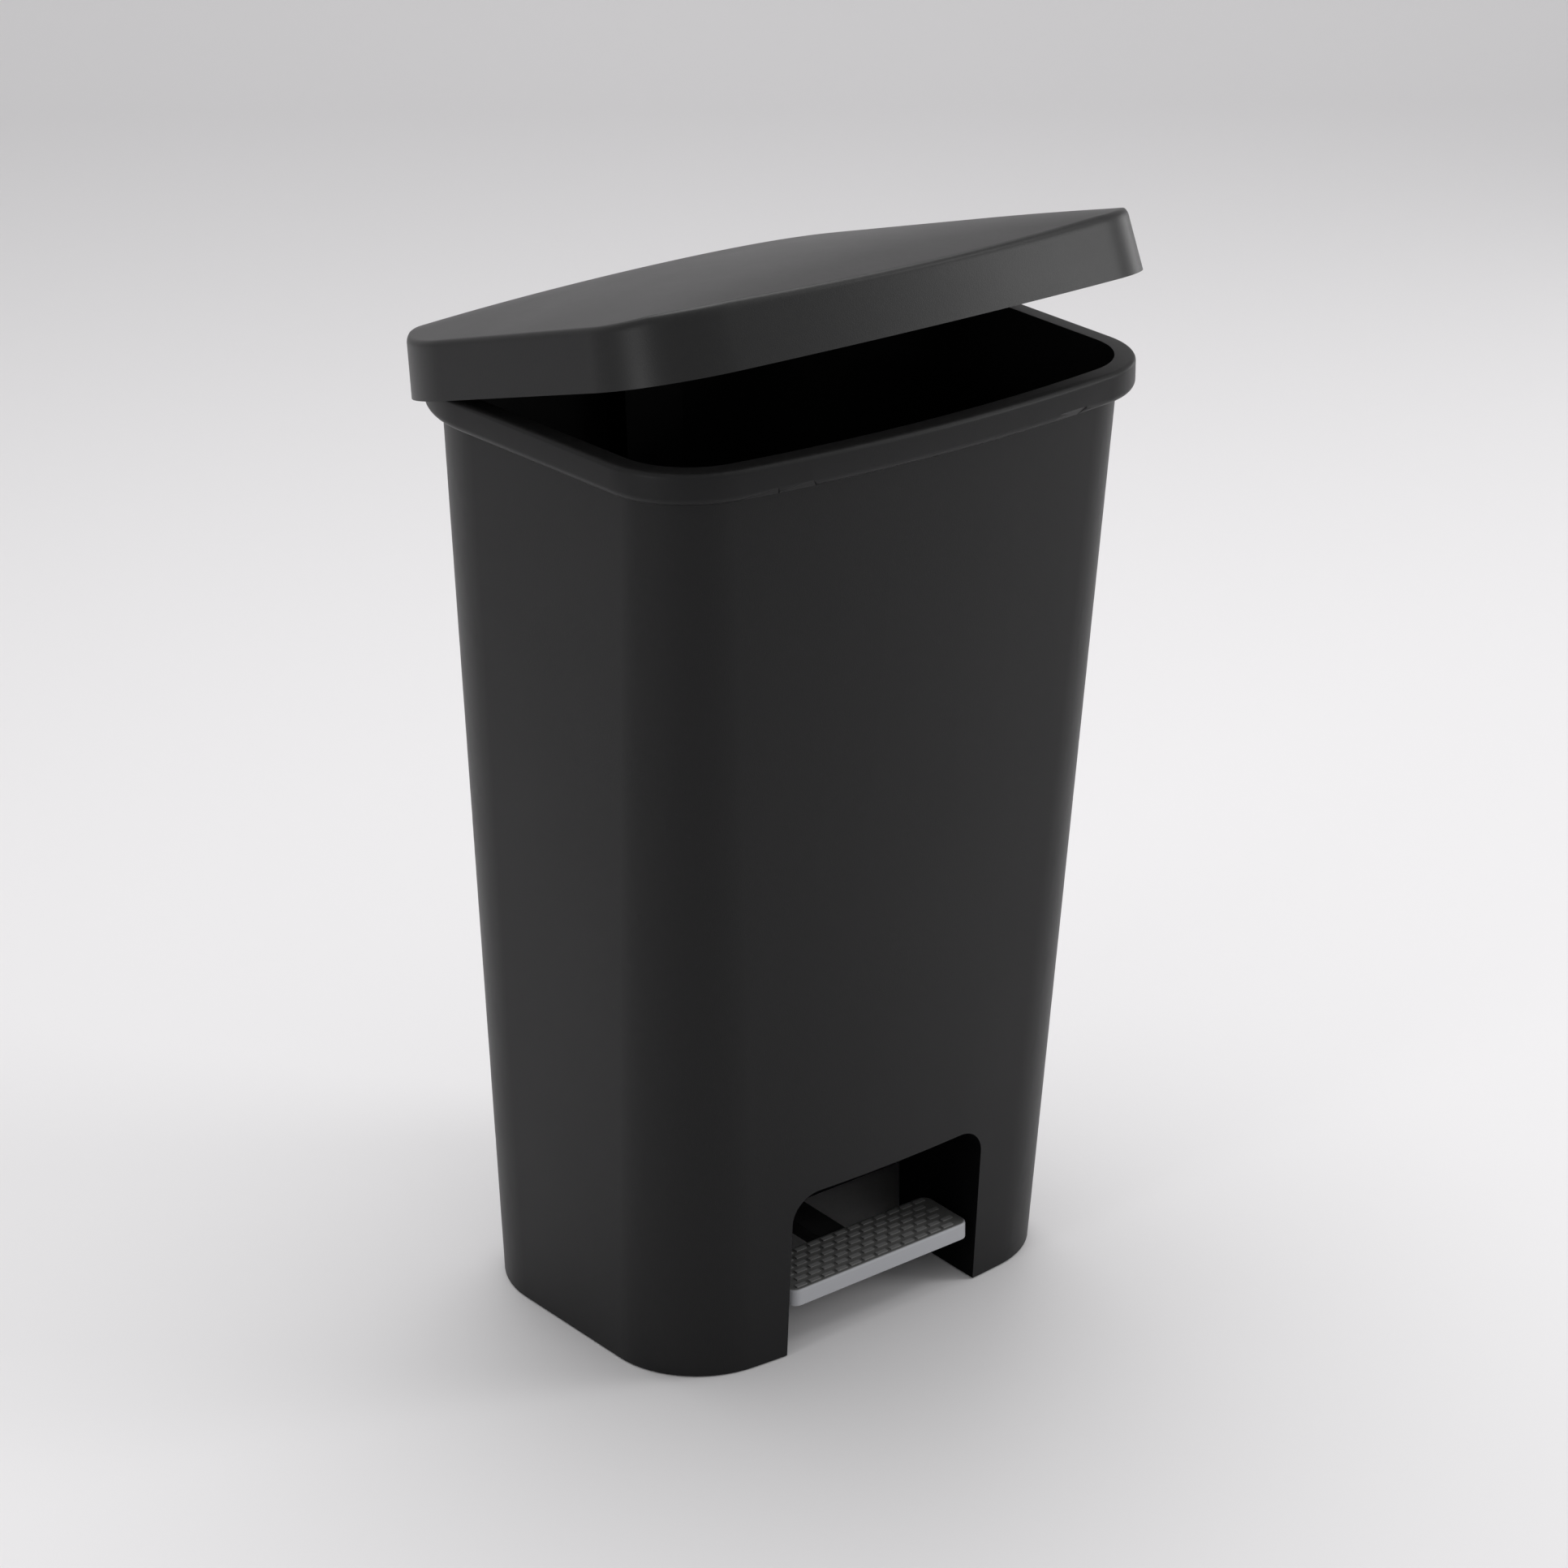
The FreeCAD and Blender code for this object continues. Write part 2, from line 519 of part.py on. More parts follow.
def can_body():
    """Build the moulded bin with its rim, pedal tunnel, channel and ears."""
    base = section("outer_low", "0", "0")
    top = section("outer_top", "rim_height", "0")
    shell = loft_body("shell", base, "foot_gap", top, "rim_height")
    band = section("band", "rim_height", "rim_offset")
    rim = pad_body("rim", band, "rim_low", "rim_band")
    round_edges(rim, "rim_round", lambda b: b.ZMin > value("rim_height") - 0.01)
    round_edges(rim, "rim_tuck", lambda b: b.ZMax < value("rim_low") + 0.01)
    outer = fuse("outer", shell, rim)

    inner_low = section("inner_low", "floor_height", "-wall")
    inner_top = section("inner_top", "rim_height", "-wall")
    inside = loft_body("inside", inner_low, "floor_height", inner_top, "rim_height + gap_fit")
    under_low = section("under_low", "0", "-wall")
    under_top = section("under_top", "floor_under", "-wall")
    under = loft_body("under", under_low, "foot_gap - gap_fit", under_top, "floor_under")
    hollow_out = section("hollow_out", "rim_height", "rim_offset - rim_lip")
    hollow_in = section("hollow_in", "rim_height", "gap_fit")
    groove = cut(
        "groove",
        pad_body("groove_out", hollow_out, "rim_low - gap_fit",
                 "rim_band - rim_crown + gap_fit"),
        pad_body("groove_in", hollow_in, "rim_low - wall", "rim_band + wall"),
    )
    blank = cut("blank", outer, inside, under, groove)

    def arch(name: str, grow: str, far: str):
        """Return the pedal tunnel profile run from the front to `far`."""
        half = f"(recess_width / 2 + {grow})"
        tall = f"(recess_height + {grow})"
        corner = f"(recess_corner + {grow})"
        front = "base_y_front - over"
        side = box(f"{name}_side", f"-{half}", half, front, far, "-over", f"{tall} - {corner}")
        mid = box(f"{name}_mid", f"-({half} - {corner})", f"{half} - {corner}", front, far,
                  "0", tall)
        run = f"({far}) - ({front})"
        ends = both_sides(
            lambda n, x: rod(n, corner, run, "y", x, front, f"{tall} - {corner}"),
            f"{name}_end", f"{half} - {corner}")
        return fuse(name, side, mid, *ends)

    def leaning(name: str, x: str, y0: str, y1: str, z0: str, z1: str):
        """Return a box symmetric in X that leans with the rod."""
        return along_rod_box(name, f"-({x})", x, y0, y1, z0, z1)

    hump = common("hump", arch("hump_block", "wall", "recess_back + wall"), shell)
    half = "channel_width / 2"
    tunnel = common(
        "tunnel",
        leaning("tunnel_block", f"{half} + wall", "-channel_front - wall",
                "rod_inset + over", "floor_under / cos(lean)", "rim_height"),
        outer)
    parts = [blank, hump, tunnel]
    cutters = [
        arch("recess", "0", "recess_back"),
        box("recess_rear", "-recess_width / 2", "recess_width / 2", "recess_back - wall",
            "recess_back + 2 * wall", "-over", "floor_under"),
        leaning("channel", half, "-channel_front", "rod_inset + over",
                "(floor_under - bite) / cos(lean)", "rim_height + over"),
    ]
    inner = []
    for level in ("guide_low", "guide_high"):
        for side, sign in (("r", "1"), ("l", "-1")):
            for end, shift in (("up", "guide_tall / 2 + gap_fit"),
                               ("dn", "-guide_tall / 2 - ledge - gap_fit")):
                x0 = f"{sign} * ({half} - ledge_reach / 2) - ledge_reach / 2"
                inner.append(along_rod_box(
                    f"rib_{level}_{side}_{end}", x0, f"{x0} + ledge_reach",
                    "-channel_front", "rod_inset - wall", f"{level} + {shift}",
                    f"{level} + {shift} + ledge"))
    for level in ("post_low", "post_mid", "post_high"):
        for side, sign in (("r", ""), ("l", "-")):
            post = along_rod_rod(f"{level}_{side}", "post_radius", "channel_front + rod_inset - gap_fit",
                                 f"{sign}post_side", "-channel_front", level)
            bore = along_rod_rod(f"{level}_{side}_bore", "small_screw + gap_run",
                                 "small_length", f"{sign}post_side",
                                 "rod_inset + cover_thick - small_length", level)
            inner.append(cut(f"{level}_{side}_post", post, bore))
    for name, y, back in (("front", "foot_front", "0"), ("back", "foot_back", "0")):
        inner += both_sides(
            lambda n, x, y=y: rod(n, "shelf_radius", "shelf_thick", "z", x, y, "foot_tall"),
            f"shelf_{name}", "foot_x")
    for i, sy in enumerate(("-bracket_screw_y", "bracket_screw_y")):
        for side, sx in (("r", "bracket_screw_x"), ("l", "-bracket_screw_x")):
            boss = rod(f"boss_{i}{side}", "boss_radius", "boss_tall + gap_run", "z", sx, sy,
                       "floor_under - boss_tall")
            hole = rod(f"boss_hole_{i}{side}", "big_screw + gap_run", "boss_tall", "z", sx, sy,
                       "floor_under - boss_tall - gap_fit")
            inner.append(cut(f"boss_cut_{i}{side}", boss, hole))
    ears = []
    for side, sx in (("r", "hinge_side"), ("l", "-hinge_side")):
        for end, shift in (("out", "(knuckle_width / 2 + gap_side)"),
                           ("in", "(-knuckle_width / 2 - gap_side - ear_thick)")):
            x0 = f"{sx} + {shift}"
            wall_back = "base_y_back + (top_y_back - base_y_back) * hinge_up / rim_height"
            name = f"ear_{side}_{end}"
            plate = box(name, x0, f"{x0} + ear_thick", f"{wall_back} - bite",
                        "hinge_back", "hinge_up - knuckle_radius", "hinge_up + knuckle_radius")
            nose = rod(f"{name}_nose", "knuckle_radius", "ear_thick", "x", x0, "hinge_back",
                       "hinge_up")
            bore = rod(f"{name}_bore", "hinge_pin_radius + gap_fit", "ear_thick + 2 * gap_fit",
                       "x", f"{x0} - gap_fit", "hinge_back", "hinge_up")
            ears.append(cut(f"{name}_cut", fuse(f"{name}_solid", plate, nose), bore))
    joined = cut("joined", fuse("with_walls", *parts), *cutters)
    return fuse("can_body", joined, *inner, *ears)


def along_rod_box(name: str, x0: str, x1: str, y0: str, y1: str, z0: str, z1: str):
    """Return a box given in the rod's frame: Y across the rod, Z along it."""
    obj = DOC.addObject("Part::Box", name)
    bind(obj, Length=f"({x1}) - ({x0})", Width=f"({y1}) - ({y0})", Height=f"({z1}) - ({z0})")
    return place_in_rod_frame(obj, x0, y0, z0, FreeCAD.Rotation())


def along_rod_rod(name: str, radius: str, length: str, x: str, y: str, z: str, axis: str = "y"):
    """Return a cylinder given in the rod's frame."""
    obj = DOC.addObject("Part::Cylinder", name)
    bind(obj, Radius=radius, Height=length)
    turns = {
        "x": FreeCAD.Rotation(FreeCAD.Vector(0, 1, 0), 90),
        "y": FreeCAD.Rotation(FreeCAD.Vector(1, 0, 0), -90),
        "z": FreeCAD.Rotation(),
    }
    return place_in_rod_frame(obj, x, y, z, turns[axis])


def place_in_rod_frame(obj, x: str, y: str, z: str, own):
    """Place an object in the rod's leaning frame, after its own turn."""
    turned = abs(own.Angle) > 0
    if turned and abs(own.Axis.y) > 0.5:
        extra = DOC.addObject("Part::Compound", f"{obj.Name}_turned")
        obj.Placement = FreeCAD.Placement(FreeCAD.Vector(), own)
        extra.Links = [obj]
        obj = extra
        start = ""
    else:
        start = " + 90" if turned else ""
    obj.Placement = FreeCAD.Placement(
        FreeCAD.Vector(), FreeCAD.Rotation(FreeCAD.Vector(-1, 0, 0), 1)
    )
    obj.setExpression(".Placement.Rotation.Angle", sheet_words(f"lean{start}"))
    return bind(
        obj, x=x,
        y=f"rod_foot + ({y}) * cos(lean) + ({z}) * sin(lean)",
        z=f"({z}) * cos(lean) - ({y}) * sin(lean)")


def fixed_parts() -> dict:
    """Build the parts that stay still with the body."""
    parts = {"can_body": can_body()}
    feet = []
    for name, y in (("front", "foot_front"), ("back", "foot_back")):
        feet += both_sides(
            lambda n, x, y=y: rod(n, "foot_radius", "foot_tall", "z", x, y, "0"),
            f"foot_{name}", "foot_x")
    parts["anti_slip_feet"] = group("anti_slip_feet", *feet)

    top = "floor_under - boss_tall"
    deep = "bracket_half_depth"
    flange = box("flange", "-bracket_half_width", "bracket_half_width", f"-{deep}", deep,
                 f"{top} - bracket_flange", top)
    cheeks = []
    for side, x0 in (("r", "hub_half + 2 * gap_side"), ("l", "-hub_half - 2 * gap_side - bracket_cheek")):
        cheeks.append(box(f"cheek_{side}", x0, f"{x0} + bracket_cheek", "-hub_radius",
                          "hub_radius", "pivot_up", top))
        cheeks.append(rod(f"cheek_{side}_end", "hub_radius", "bracket_cheek", "x", x0, "0",
                          "pivot_up"))
    holes = [rod("pivot_bore", "pivot_radius + gap_fit", "2 * over", "x", "-over", "0",
                 "pivot_up")]
    screws = []
    for i, sy in enumerate(("-bracket_screw_y", "bracket_screw_y")):
        for side, sx in (("r", "bracket_screw_x"), ("l", "-bracket_screw_x")):
            under = f"{top} - bracket_flange"
            holes.append(rod(f"flange_hole_{i}{side}", "big_screw + gap_free", "over", "z", sx,
                             sy, f"{under} - gap_fit"))
            head = rod(f"big_head_{i}{side}", "big_head", "head_tall", "z", sx, sy,
                       f"{under} - head_tall")
            shank = rod(f"big_shank_{i}{side}", "big_screw",
                        "bracket_flange + boss_tall - gap_free", "z", sx, sy, under)
            screws.append(fuse(f"big_screw_{i}{side}", head, shank))
    hub_room = box("hub_room", "-hub_half - 2 * gap_side", "hub_half + 2 * gap_side",
                   "-hub_radius - gap_side", "hub_radius + gap_side", "pivot_up",
                   "pivot_up + hub_radius + gap_free")
    parts["pivot_bracket"] = cut("pivot_bracket", fuse("bracket_blank", flange, *cheeks),
                                 *holes, hub_room)
    parts["bracket_screws"] = group("bracket_screws", *screws)

    far = "hub_half + 2 * gap_side + bracket_cheek"
    pin = fuse(
        "pivot_pin_blank",
        rod("pivot_shank", "pivot_radius", f"2 * ({far}) + pin_spare", "x", f"-({far})", "0", "pivot_up"),
        rod("pivot_head", "pivot_radius + head_tall", "head_tall", "x",
            f"-({far}) - head_tall", "0", "pivot_up"))
    ring_x = f"{far} + gap_fit"
    neck = "pivot_radius - gap_side"
    ring_cut = cut(
        "pivot_groove",
        rod("groove_big", "hub_radius", "clip_thick + 2 * gap_fit", "x", ring_x, "0", "pivot_up"),
        rod("groove_small", neck, "clip_thick + 4 * gap_fit", "x", f"{ring_x} - gap_fit", "0",
            "pivot_up"))
    parts["pivot_pin"] = cut("pivot_pin", pin, ring_cut)
    parts["pivot_pin_clip"] = cut(
        "pivot_pin_clip",
        rod("clip_ring", "pivot_radius + head_tall", "clip_thick", "x", f"{ring_x} + gap_fit", "0",
            "pivot_up"),
        rod("clip_bore", f"{neck} + gap_run", "clip_thick + 4 * gap_fit", "x", ring_x, "0",
            "pivot_up"),
        box("clip_opening", ring_x, f"{ring_x} + 2 * clip_thick", "-clip_mouth", "clip_mouth",
            "pivot_up - over", "pivot_up"))

    for name, level in (("rod_guide_lower", "guide_low"), ("rod_guide_upper", "guide_high")):
        block = along_rod_box(
            f"{name}_block", "-channel_width / 2 + gap_fit", "channel_width / 2 - gap_fit",
            "-channel_front + gap_fit", "rod_inset - gap_fit", f"{level} - guide_tall / 2",
            f"{level} + guide_tall / 2")
        bore = along_rod_rod(f"{name}_bore", "rod_radius + gap_run", "guide_tall + 2 * over",
                             "0", "0", f"{level} - guide_tall / 2 - over", "z")
        parts[name] = cut(name, block, bore)

    half = "(channel_width / 2 + cover_lap)"
    cover = along_rod_box("cover_plate", f"-{half}", half, "rod_inset",
                          "rod_inset + cover_thick", "cover_bottom", "cover_top")
    holes = []
    screws = []
    for level in ("post_low", "post_mid", "post_high"):
        for side, sign in (("r", ""), ("l", "-")):
            name = f"cover_{level}_{side}"
            holes.append(along_rod_rod(f"{name}_hole", "small_screw + gap_free", "over",
                                       f"{sign}post_side", "rod_inset - wall", level))
            head = along_rod_rod(f"{name}_head", "small_head", "head_tall", f"{sign}post_side",
                                 "rod_inset + cover_thick", level)
            shank = along_rod_rod(f"{name}_shank", "small_screw", "small_length",
                                  f"{sign}post_side",
                                  "rod_inset + cover_thick - small_length + gap_free", level)
            screws.append(fuse(f"{name}_screw", head, shank))
    parts["rear_channel_cover"] = cut("rear_channel_cover", cover, *holes)
    parts["cover_screws"] = group("cover_screws", *screws)

    reach = "(knuckle_width / 2 + gap_side + ear_thick)"
    caps = []
    for side, shank_x, head_x, cap_x in (
            ("right", f"hinge_side - {reach} - pin_spare", f"hinge_side + {reach}",
             f"hinge_side - {reach} - gap_fit - head_tall"),
            ("left", f"-hinge_side - {reach}", f"-hinge_side - {reach} - head_tall",
             f"-hinge_side + {reach} + gap_fit")):
        name = f"hinge_pin_{side}"
        shank = rod(f"{name}_shank", "hinge_pin_radius", f"2 * {reach} + pin_spare", "x", shank_x,
                    "hinge_back", "hinge_up")
        head = rod(f"{name}_head", "hinge_pin_radius + pin_flange", "head_tall", "x", head_x,
                   "hinge_back", "hinge_up")
        parts[name] = fuse(name, shank, head)
        caps.append(cut(
            f"cap_{side}",
            rod(f"cap_{side}_ring", "hinge_pin_radius + head_tall", "head_tall", "x", cap_x,
                "hinge_back", "hinge_up"),
            rod(f"cap_{side}_bore", "hinge_pin_radius + gap_run", "head_tall + 2 * gap_fit", "x",
                f"{cap_x} - gap_fit", "hinge_back", "hinge_up")))
    parts["hinge_pin_caps"] = group("hinge_pin_caps", *caps)
    return parts


def lid_solid(name: str, inset: str, drop: str):
    """Return the domed lid volume, shrunk by an inset and lowered by a drop."""
    low = section(f"{name}_low_plan", "rim_height", f"lid_offset - {inset}",
                  "lid_front_gap")
    high = section(f"{name}_high_plan", "rim_height", f"lid_offset - skirt_draft - {inset}",
                   "lid_front_gap")
    floor = f"lid_low - {drop} * gap_fit"
    skirt = loft_body(f"{name}_skirt", low, floor, high, "skirt_top")
    crown = pad_body(f"{name}_crown", high, "skirt_top - gap_run", "lid_crown + gap_run")
    width = "top_width / 2 + lid_offset"
    radius = f"(({width})^2 + lid_crown^2) / (2 * lid_crown)"
    dome = rod(f"{name}_dome", f"{radius}", "2 * top_depth", "y", "0", "-top_depth",
               f"skirt_top + lid_crown - {drop} - {radius}")
    front = "(top_y_front - lid_offset - lid_front_gap)"
    back = "(top_y_back + lid_offset)"
    half = f"(({back} - {front}) / 2)"
    curve = f"({half}^2 + lid_arch^2) / (2 * lid_arch)"
    arch = rod(f"{name}_arch", curve, "2 * top_width", "x", "-top_width", f"{front} + {half}",
               f"skirt_top + lid_arch - {drop} - {curve}")
    return common(f"{name}_solid",
                  common(f"{name}_domed", fuse(f"{name}_blank", skirt, crown), dome), arch)


def lid_parts() -> dict:
    """Build the parts that swing with the lid."""
    outer = lid_solid("lid_out", "0", "0")
    inner = lid_solid("lid_in", "lid_wall", "lid_wall")
    knuckles = []
    bores = []
    for side, sx in (("r", "hinge_side"), ("l", "-hinge_side")):
        x0 = f"{sx} - knuckle_width / 2"
        knuckles.append(rod(f"knuckle_{side}", "knuckle_radius", "knuckle_width", "x", x0,
                            "hinge_back", "hinge_up"))
        skirt_in = "top_y_back + lid_offset - lid_wall"
        knuckles.append(box(f"web_{side}", x0, f"{x0} + knuckle_width", skirt_in,
                            f"{skirt_in} + web_out", "hinge_up", "hinge_up + web_tall"))
        bores.append(rod(f"knuckle_bore_{side}", "hinge_pin_radius + gap_run",
                         "knuckle_width + 2 * gap_fit", "x", f"{x0} - gap_fit", "hinge_back",
                         "hinge_up"))
    flange_low = "rim_height"
    flange_top = "rim_height + lid_wall"
    bosses = []
    screws = []
    flange_holes = []
    screw_y = "hinge_back - crank_screw_y"
    for side, sx in (("r", "crank_screw_x"), ("l", "-crank_screw_x")):
        post = rod(f"crank_post_{side}", "post_radius", "lid_crown", "z", sx, screw_y,
                   f"{flange_top} + gap_run")
        bosses.append(post)
        bores.append(rod(f"crank_post_bore_{side}", "small_screw + gap_run",
                         "crank_screw_length - lid_wall", "z", sx, screw_y, flange_top))
        flange_holes.append(rod(f"crank_hole_{side}", "small_screw + gap_free", "over", "z", sx,
                                screw_y, f"{flange_low} - gap_fit"))
        head = rod(f"crank_head_{side}", "small_head", "head_tall", "z", sx, screw_y,
                   f"{flange_low} - head_tall")
        shank = rod(f"crank_shank_{side}", "small_screw", "crank_screw_length - gap_free", "z", sx,
                    screw_y, flange_low)
        screws.append(fuse(f"crank_screw_{side}", head, shank))
    buffers = []
    seat = "rim_height + gap_free + buffer_tall"
    buffer_y = "top_y_front + rim_round"
    for side, sx in (("r", "buffer_x"), ("l", "-buffer_x")):
        bosses.append(rod(f"buffer_seat_{side}", "buffer_radius + gap_side",
                          "seat_tall", "z", sx, buffer_y, seat))
        buffers.append(rod(f"buffer_{side}", "buffer_radius", "buffer_tall", "z", sx, buffer_y,
                           "rim_height + gap_free"))
    inside_parts = common("bosses_in", fuse("bosses", *bosses), outer)
    hollow = cut("lid_hollow", outer, inner)
    shell = cut("lid_closed", fuse("lid_blank", hollow, inside_parts, *knuckles), *bores)

    flange = box("crank_flange", "-crank_flange_half", "crank_flange_half",
                 f"{screw_y} - post_radius", f"{screw_y} + post_radius", flange_low, flange_top)
    half = "crank_thick / 2"
    web = box("crank_web", f"-{half}", half, f"{screw_y} - post_radius", f"{screw_y} + post_radius",
              "hinge_up - knuckle_radius", flange_top)
    end_y = "hinge_back - crank_slot_reach * cos(crank_angle)"
    end_z = "hinge_up - crank_slot_reach * sin(crank_angle)"
    arm = crank_bar("crank_arm", "0", "crank_slot_reach + slot_run / 2", "slot_rim", half)
    tip = crank_bar_end("crank_tip", "crank_slot_reach + slot_run / 2", "slot_rim", half)
    slot = crank_bar("crank_slot", "crank_slot_reach - slot_run / 2",
                     "crank_slot_reach + slot_run / 2", "slot_half", f"{half} + gap_fit")
    slot_a = crank_bar_end("crank_slot_a", "crank_slot_reach - slot_run / 2", "slot_half",
                           f"{half} + gap_fit")
    slot_b = crank_bar_end("crank_slot_b", "crank_slot_reach + slot_run / 2", "slot_half",
                           f"{half} + gap_fit")
    crank = cut("crank_closed", fuse("crank_blank", flange, web, arm, tip), slot, slot_a, slot_b,
                *flange_holes)
    return {
        "lid_shell": swung(group("lid_shell", shell)),
        "lid_crank": swung(group("lid_crank", crank)),
        "crank_screws": swung(group("crank_screws", *screws)),
        "lid_buffers": swung(group("lid_buffers", *buffers)),
    }


def crank_bar(name: str, start: str, end: str, half_tall: str, half_wide: str):
    """Return a bar along the shut crank, from the hinge axis outwards."""
    obj = DOC.addObject("Part::Box", name)
    bind(obj, Length=f"2 * ({half_wide})", Width=f"({end}) - ({start})",
         Height=f"2 * ({half_tall})")
    obj.Placement = FreeCAD.Placement(
        FreeCAD.Vector(), FreeCAD.Rotation(FreeCAD.Vector(1, 0, 0), 1))
    obj.setExpression(".Placement.Rotation.Angle", sheet_words("crank_angle"))
    return bind(
        obj, x=f"-({half_wide})",
        y=f"hinge_back - ({end}) * cos(crank_angle) + ({half_tall}) * sin(crank_angle)",
        z=f"hinge_up - ({end}) * sin(crank_angle) - ({half_tall}) * cos(crank_angle)")


def crank_bar_end(name: str, reach: str, radius: str, half_wide: str):
    """Return a round across the shut crank at a reach from the hinge axis."""
    return rod(name, radius, f"2 * ({half_wide})", "x", f"-({half_wide})",
               f"hinge_back - ({reach}) * cos(crank_angle)",
               f"hinge_up - ({reach}) * sin(crank_angle)")


def rod_parts() -> dict:
    """Build the parts that slide with the push rod."""
    half = "clevis_half"
    deep = "clevis_deep / 2"
    pin = "top_pin_along"
    low = f"{pin} - 2 * socket + gap_side"
    fork = "crank_thick / 2 + gap_side"
    wide = "bottom_clevis_half"
    down = "bottom_pin_along"
    high = f"{down} + 2 * socket - gap_side"
    rear_fork = "arm_rear_width / 2 + gap_side"
    top = cut(
        "rod_top_clevis",
        fuse("top_clevis_blank",
             along_rod_box("top_block", f"-{half}", half, f"-{deep}", deep, low, pin),
             along_rod_rod("top_eye", deep, f"2 * {half}", f"-{half}", "0", pin, "x")),
        along_rod_box("top_fork", f"-({fork})", fork, "-clevis_deep", "clevis_deep",
                      f"{pin} - slot_rim - 2 * wall", f"{pin} + over"),
        along_rod_rod("top_eye_bore", "pin_radius + gap_run", f"2 * {half} + 2 * gap_fit",
                      f"-{half} - gap_fit", "0", pin, "x"),
        along_rod_rod("top_socket", "rod_radius + gap_run", "socket", "0", "0",
                      f"{low} - gap_fit", "z"))
    bottom = cut(
        "rod_bottom_clevis",
        fuse("bottom_clevis_blank",
             along_rod_box("bottom_block", f"-{wide}", wide, f"-{deep}", deep, down, high),
             along_rod_rod("bottom_eye", deep, f"2 * {wide}", f"-{wide}", "0", down, "x")),
        along_rod_box("bottom_fork", f"-({rear_fork})", rear_fork, "-clevis_deep", "clevis_deep",
                      f"{down} - over", f"{down} + slot_rim + wall"),
        along_rod_rod("bottom_eye_bore", "pin_radius + gap_run", f"2 * {wide} + 2 * gap_fit",
                      f"-{wide} - gap_fit", "0", down, "x"),
        along_rod_rod("bottom_socket", "rod_radius + gap_run", "socket", "0", "0",
                      f"{high} - socket + gap_fit", "z"))
    start = f"{high} - socket + 2 * gap_fit"
    end = f"{low} + socket - 2 * gap_fit"

    def pin_with_head(name: str, reach: str, along: str):
        """Return a headed pin across the rod."""
        shank = along_rod_rod(f"{name}_shank", "pin_radius", f"2 * {reach} + head_tall / 2",
                              f"-{reach}", "0", along, "x")
        head = along_rod_rod(f"{name}_head", "pin_radius + pin_flange", "head_tall / 2",
                             f"-{reach} - head_tall / 2", "0", along, "x")
        return fuse(name, shank, head)

    return {
        "push_rod": along_rod_rod("push_rod", "rod_radius", f"({end}) - ({start})", "0", "0",
                                  start, "z"),
        "rod_top_clevis": top,
        "rod_top_pin": pin_with_head("rod_top_pin", "clevis_half", pin),
        "rod_bottom_clevis": bottom,
        "rod_bottom_pin": pin_with_head("rod_bottom_pin", "bottom_clevis_half", down),
    }


def lever_bar(name: str, start: str, end: str, half_tall: str, half_wide: str):
    """Return a bar along the rear arm, measured from the pivot."""
    obj = DOC.addObject("Part::Box", name)
    bind(obj, Length=f"2 * ({half_wide})", Width=f"({end}) - ({start})",
         Height=f"2 * ({half_tall})")
    obj.Placement = FreeCAD.Placement(
        FreeCAD.Vector(), FreeCAD.Rotation(FreeCAD.Vector(-1, 0, 0), 1))
    obj.setExpression(".Placement.Rotation.Angle", sheet_words("rear_angle"))
    return bind(
        obj, x=f"-({half_wide})",
        y=f"({start}) * cos(rear_angle) - ({half_tall}) * sin(rear_angle)",
        z=f"pivot_up - ({start}) * sin(rear_angle) - ({half_tall}) * cos(rear_angle)")


def lever_end(name: str, reach: str, radius: str, half_wide: str):
    """Return a round across the rear arm at a reach from the pivot."""
    return rod(name, radius, f"2 * ({half_wide})", "x", f"-({half_wide})",
               f"({reach}) * cos(rear_angle)", f"pivot_up - ({reach}) * sin(rear_angle)")


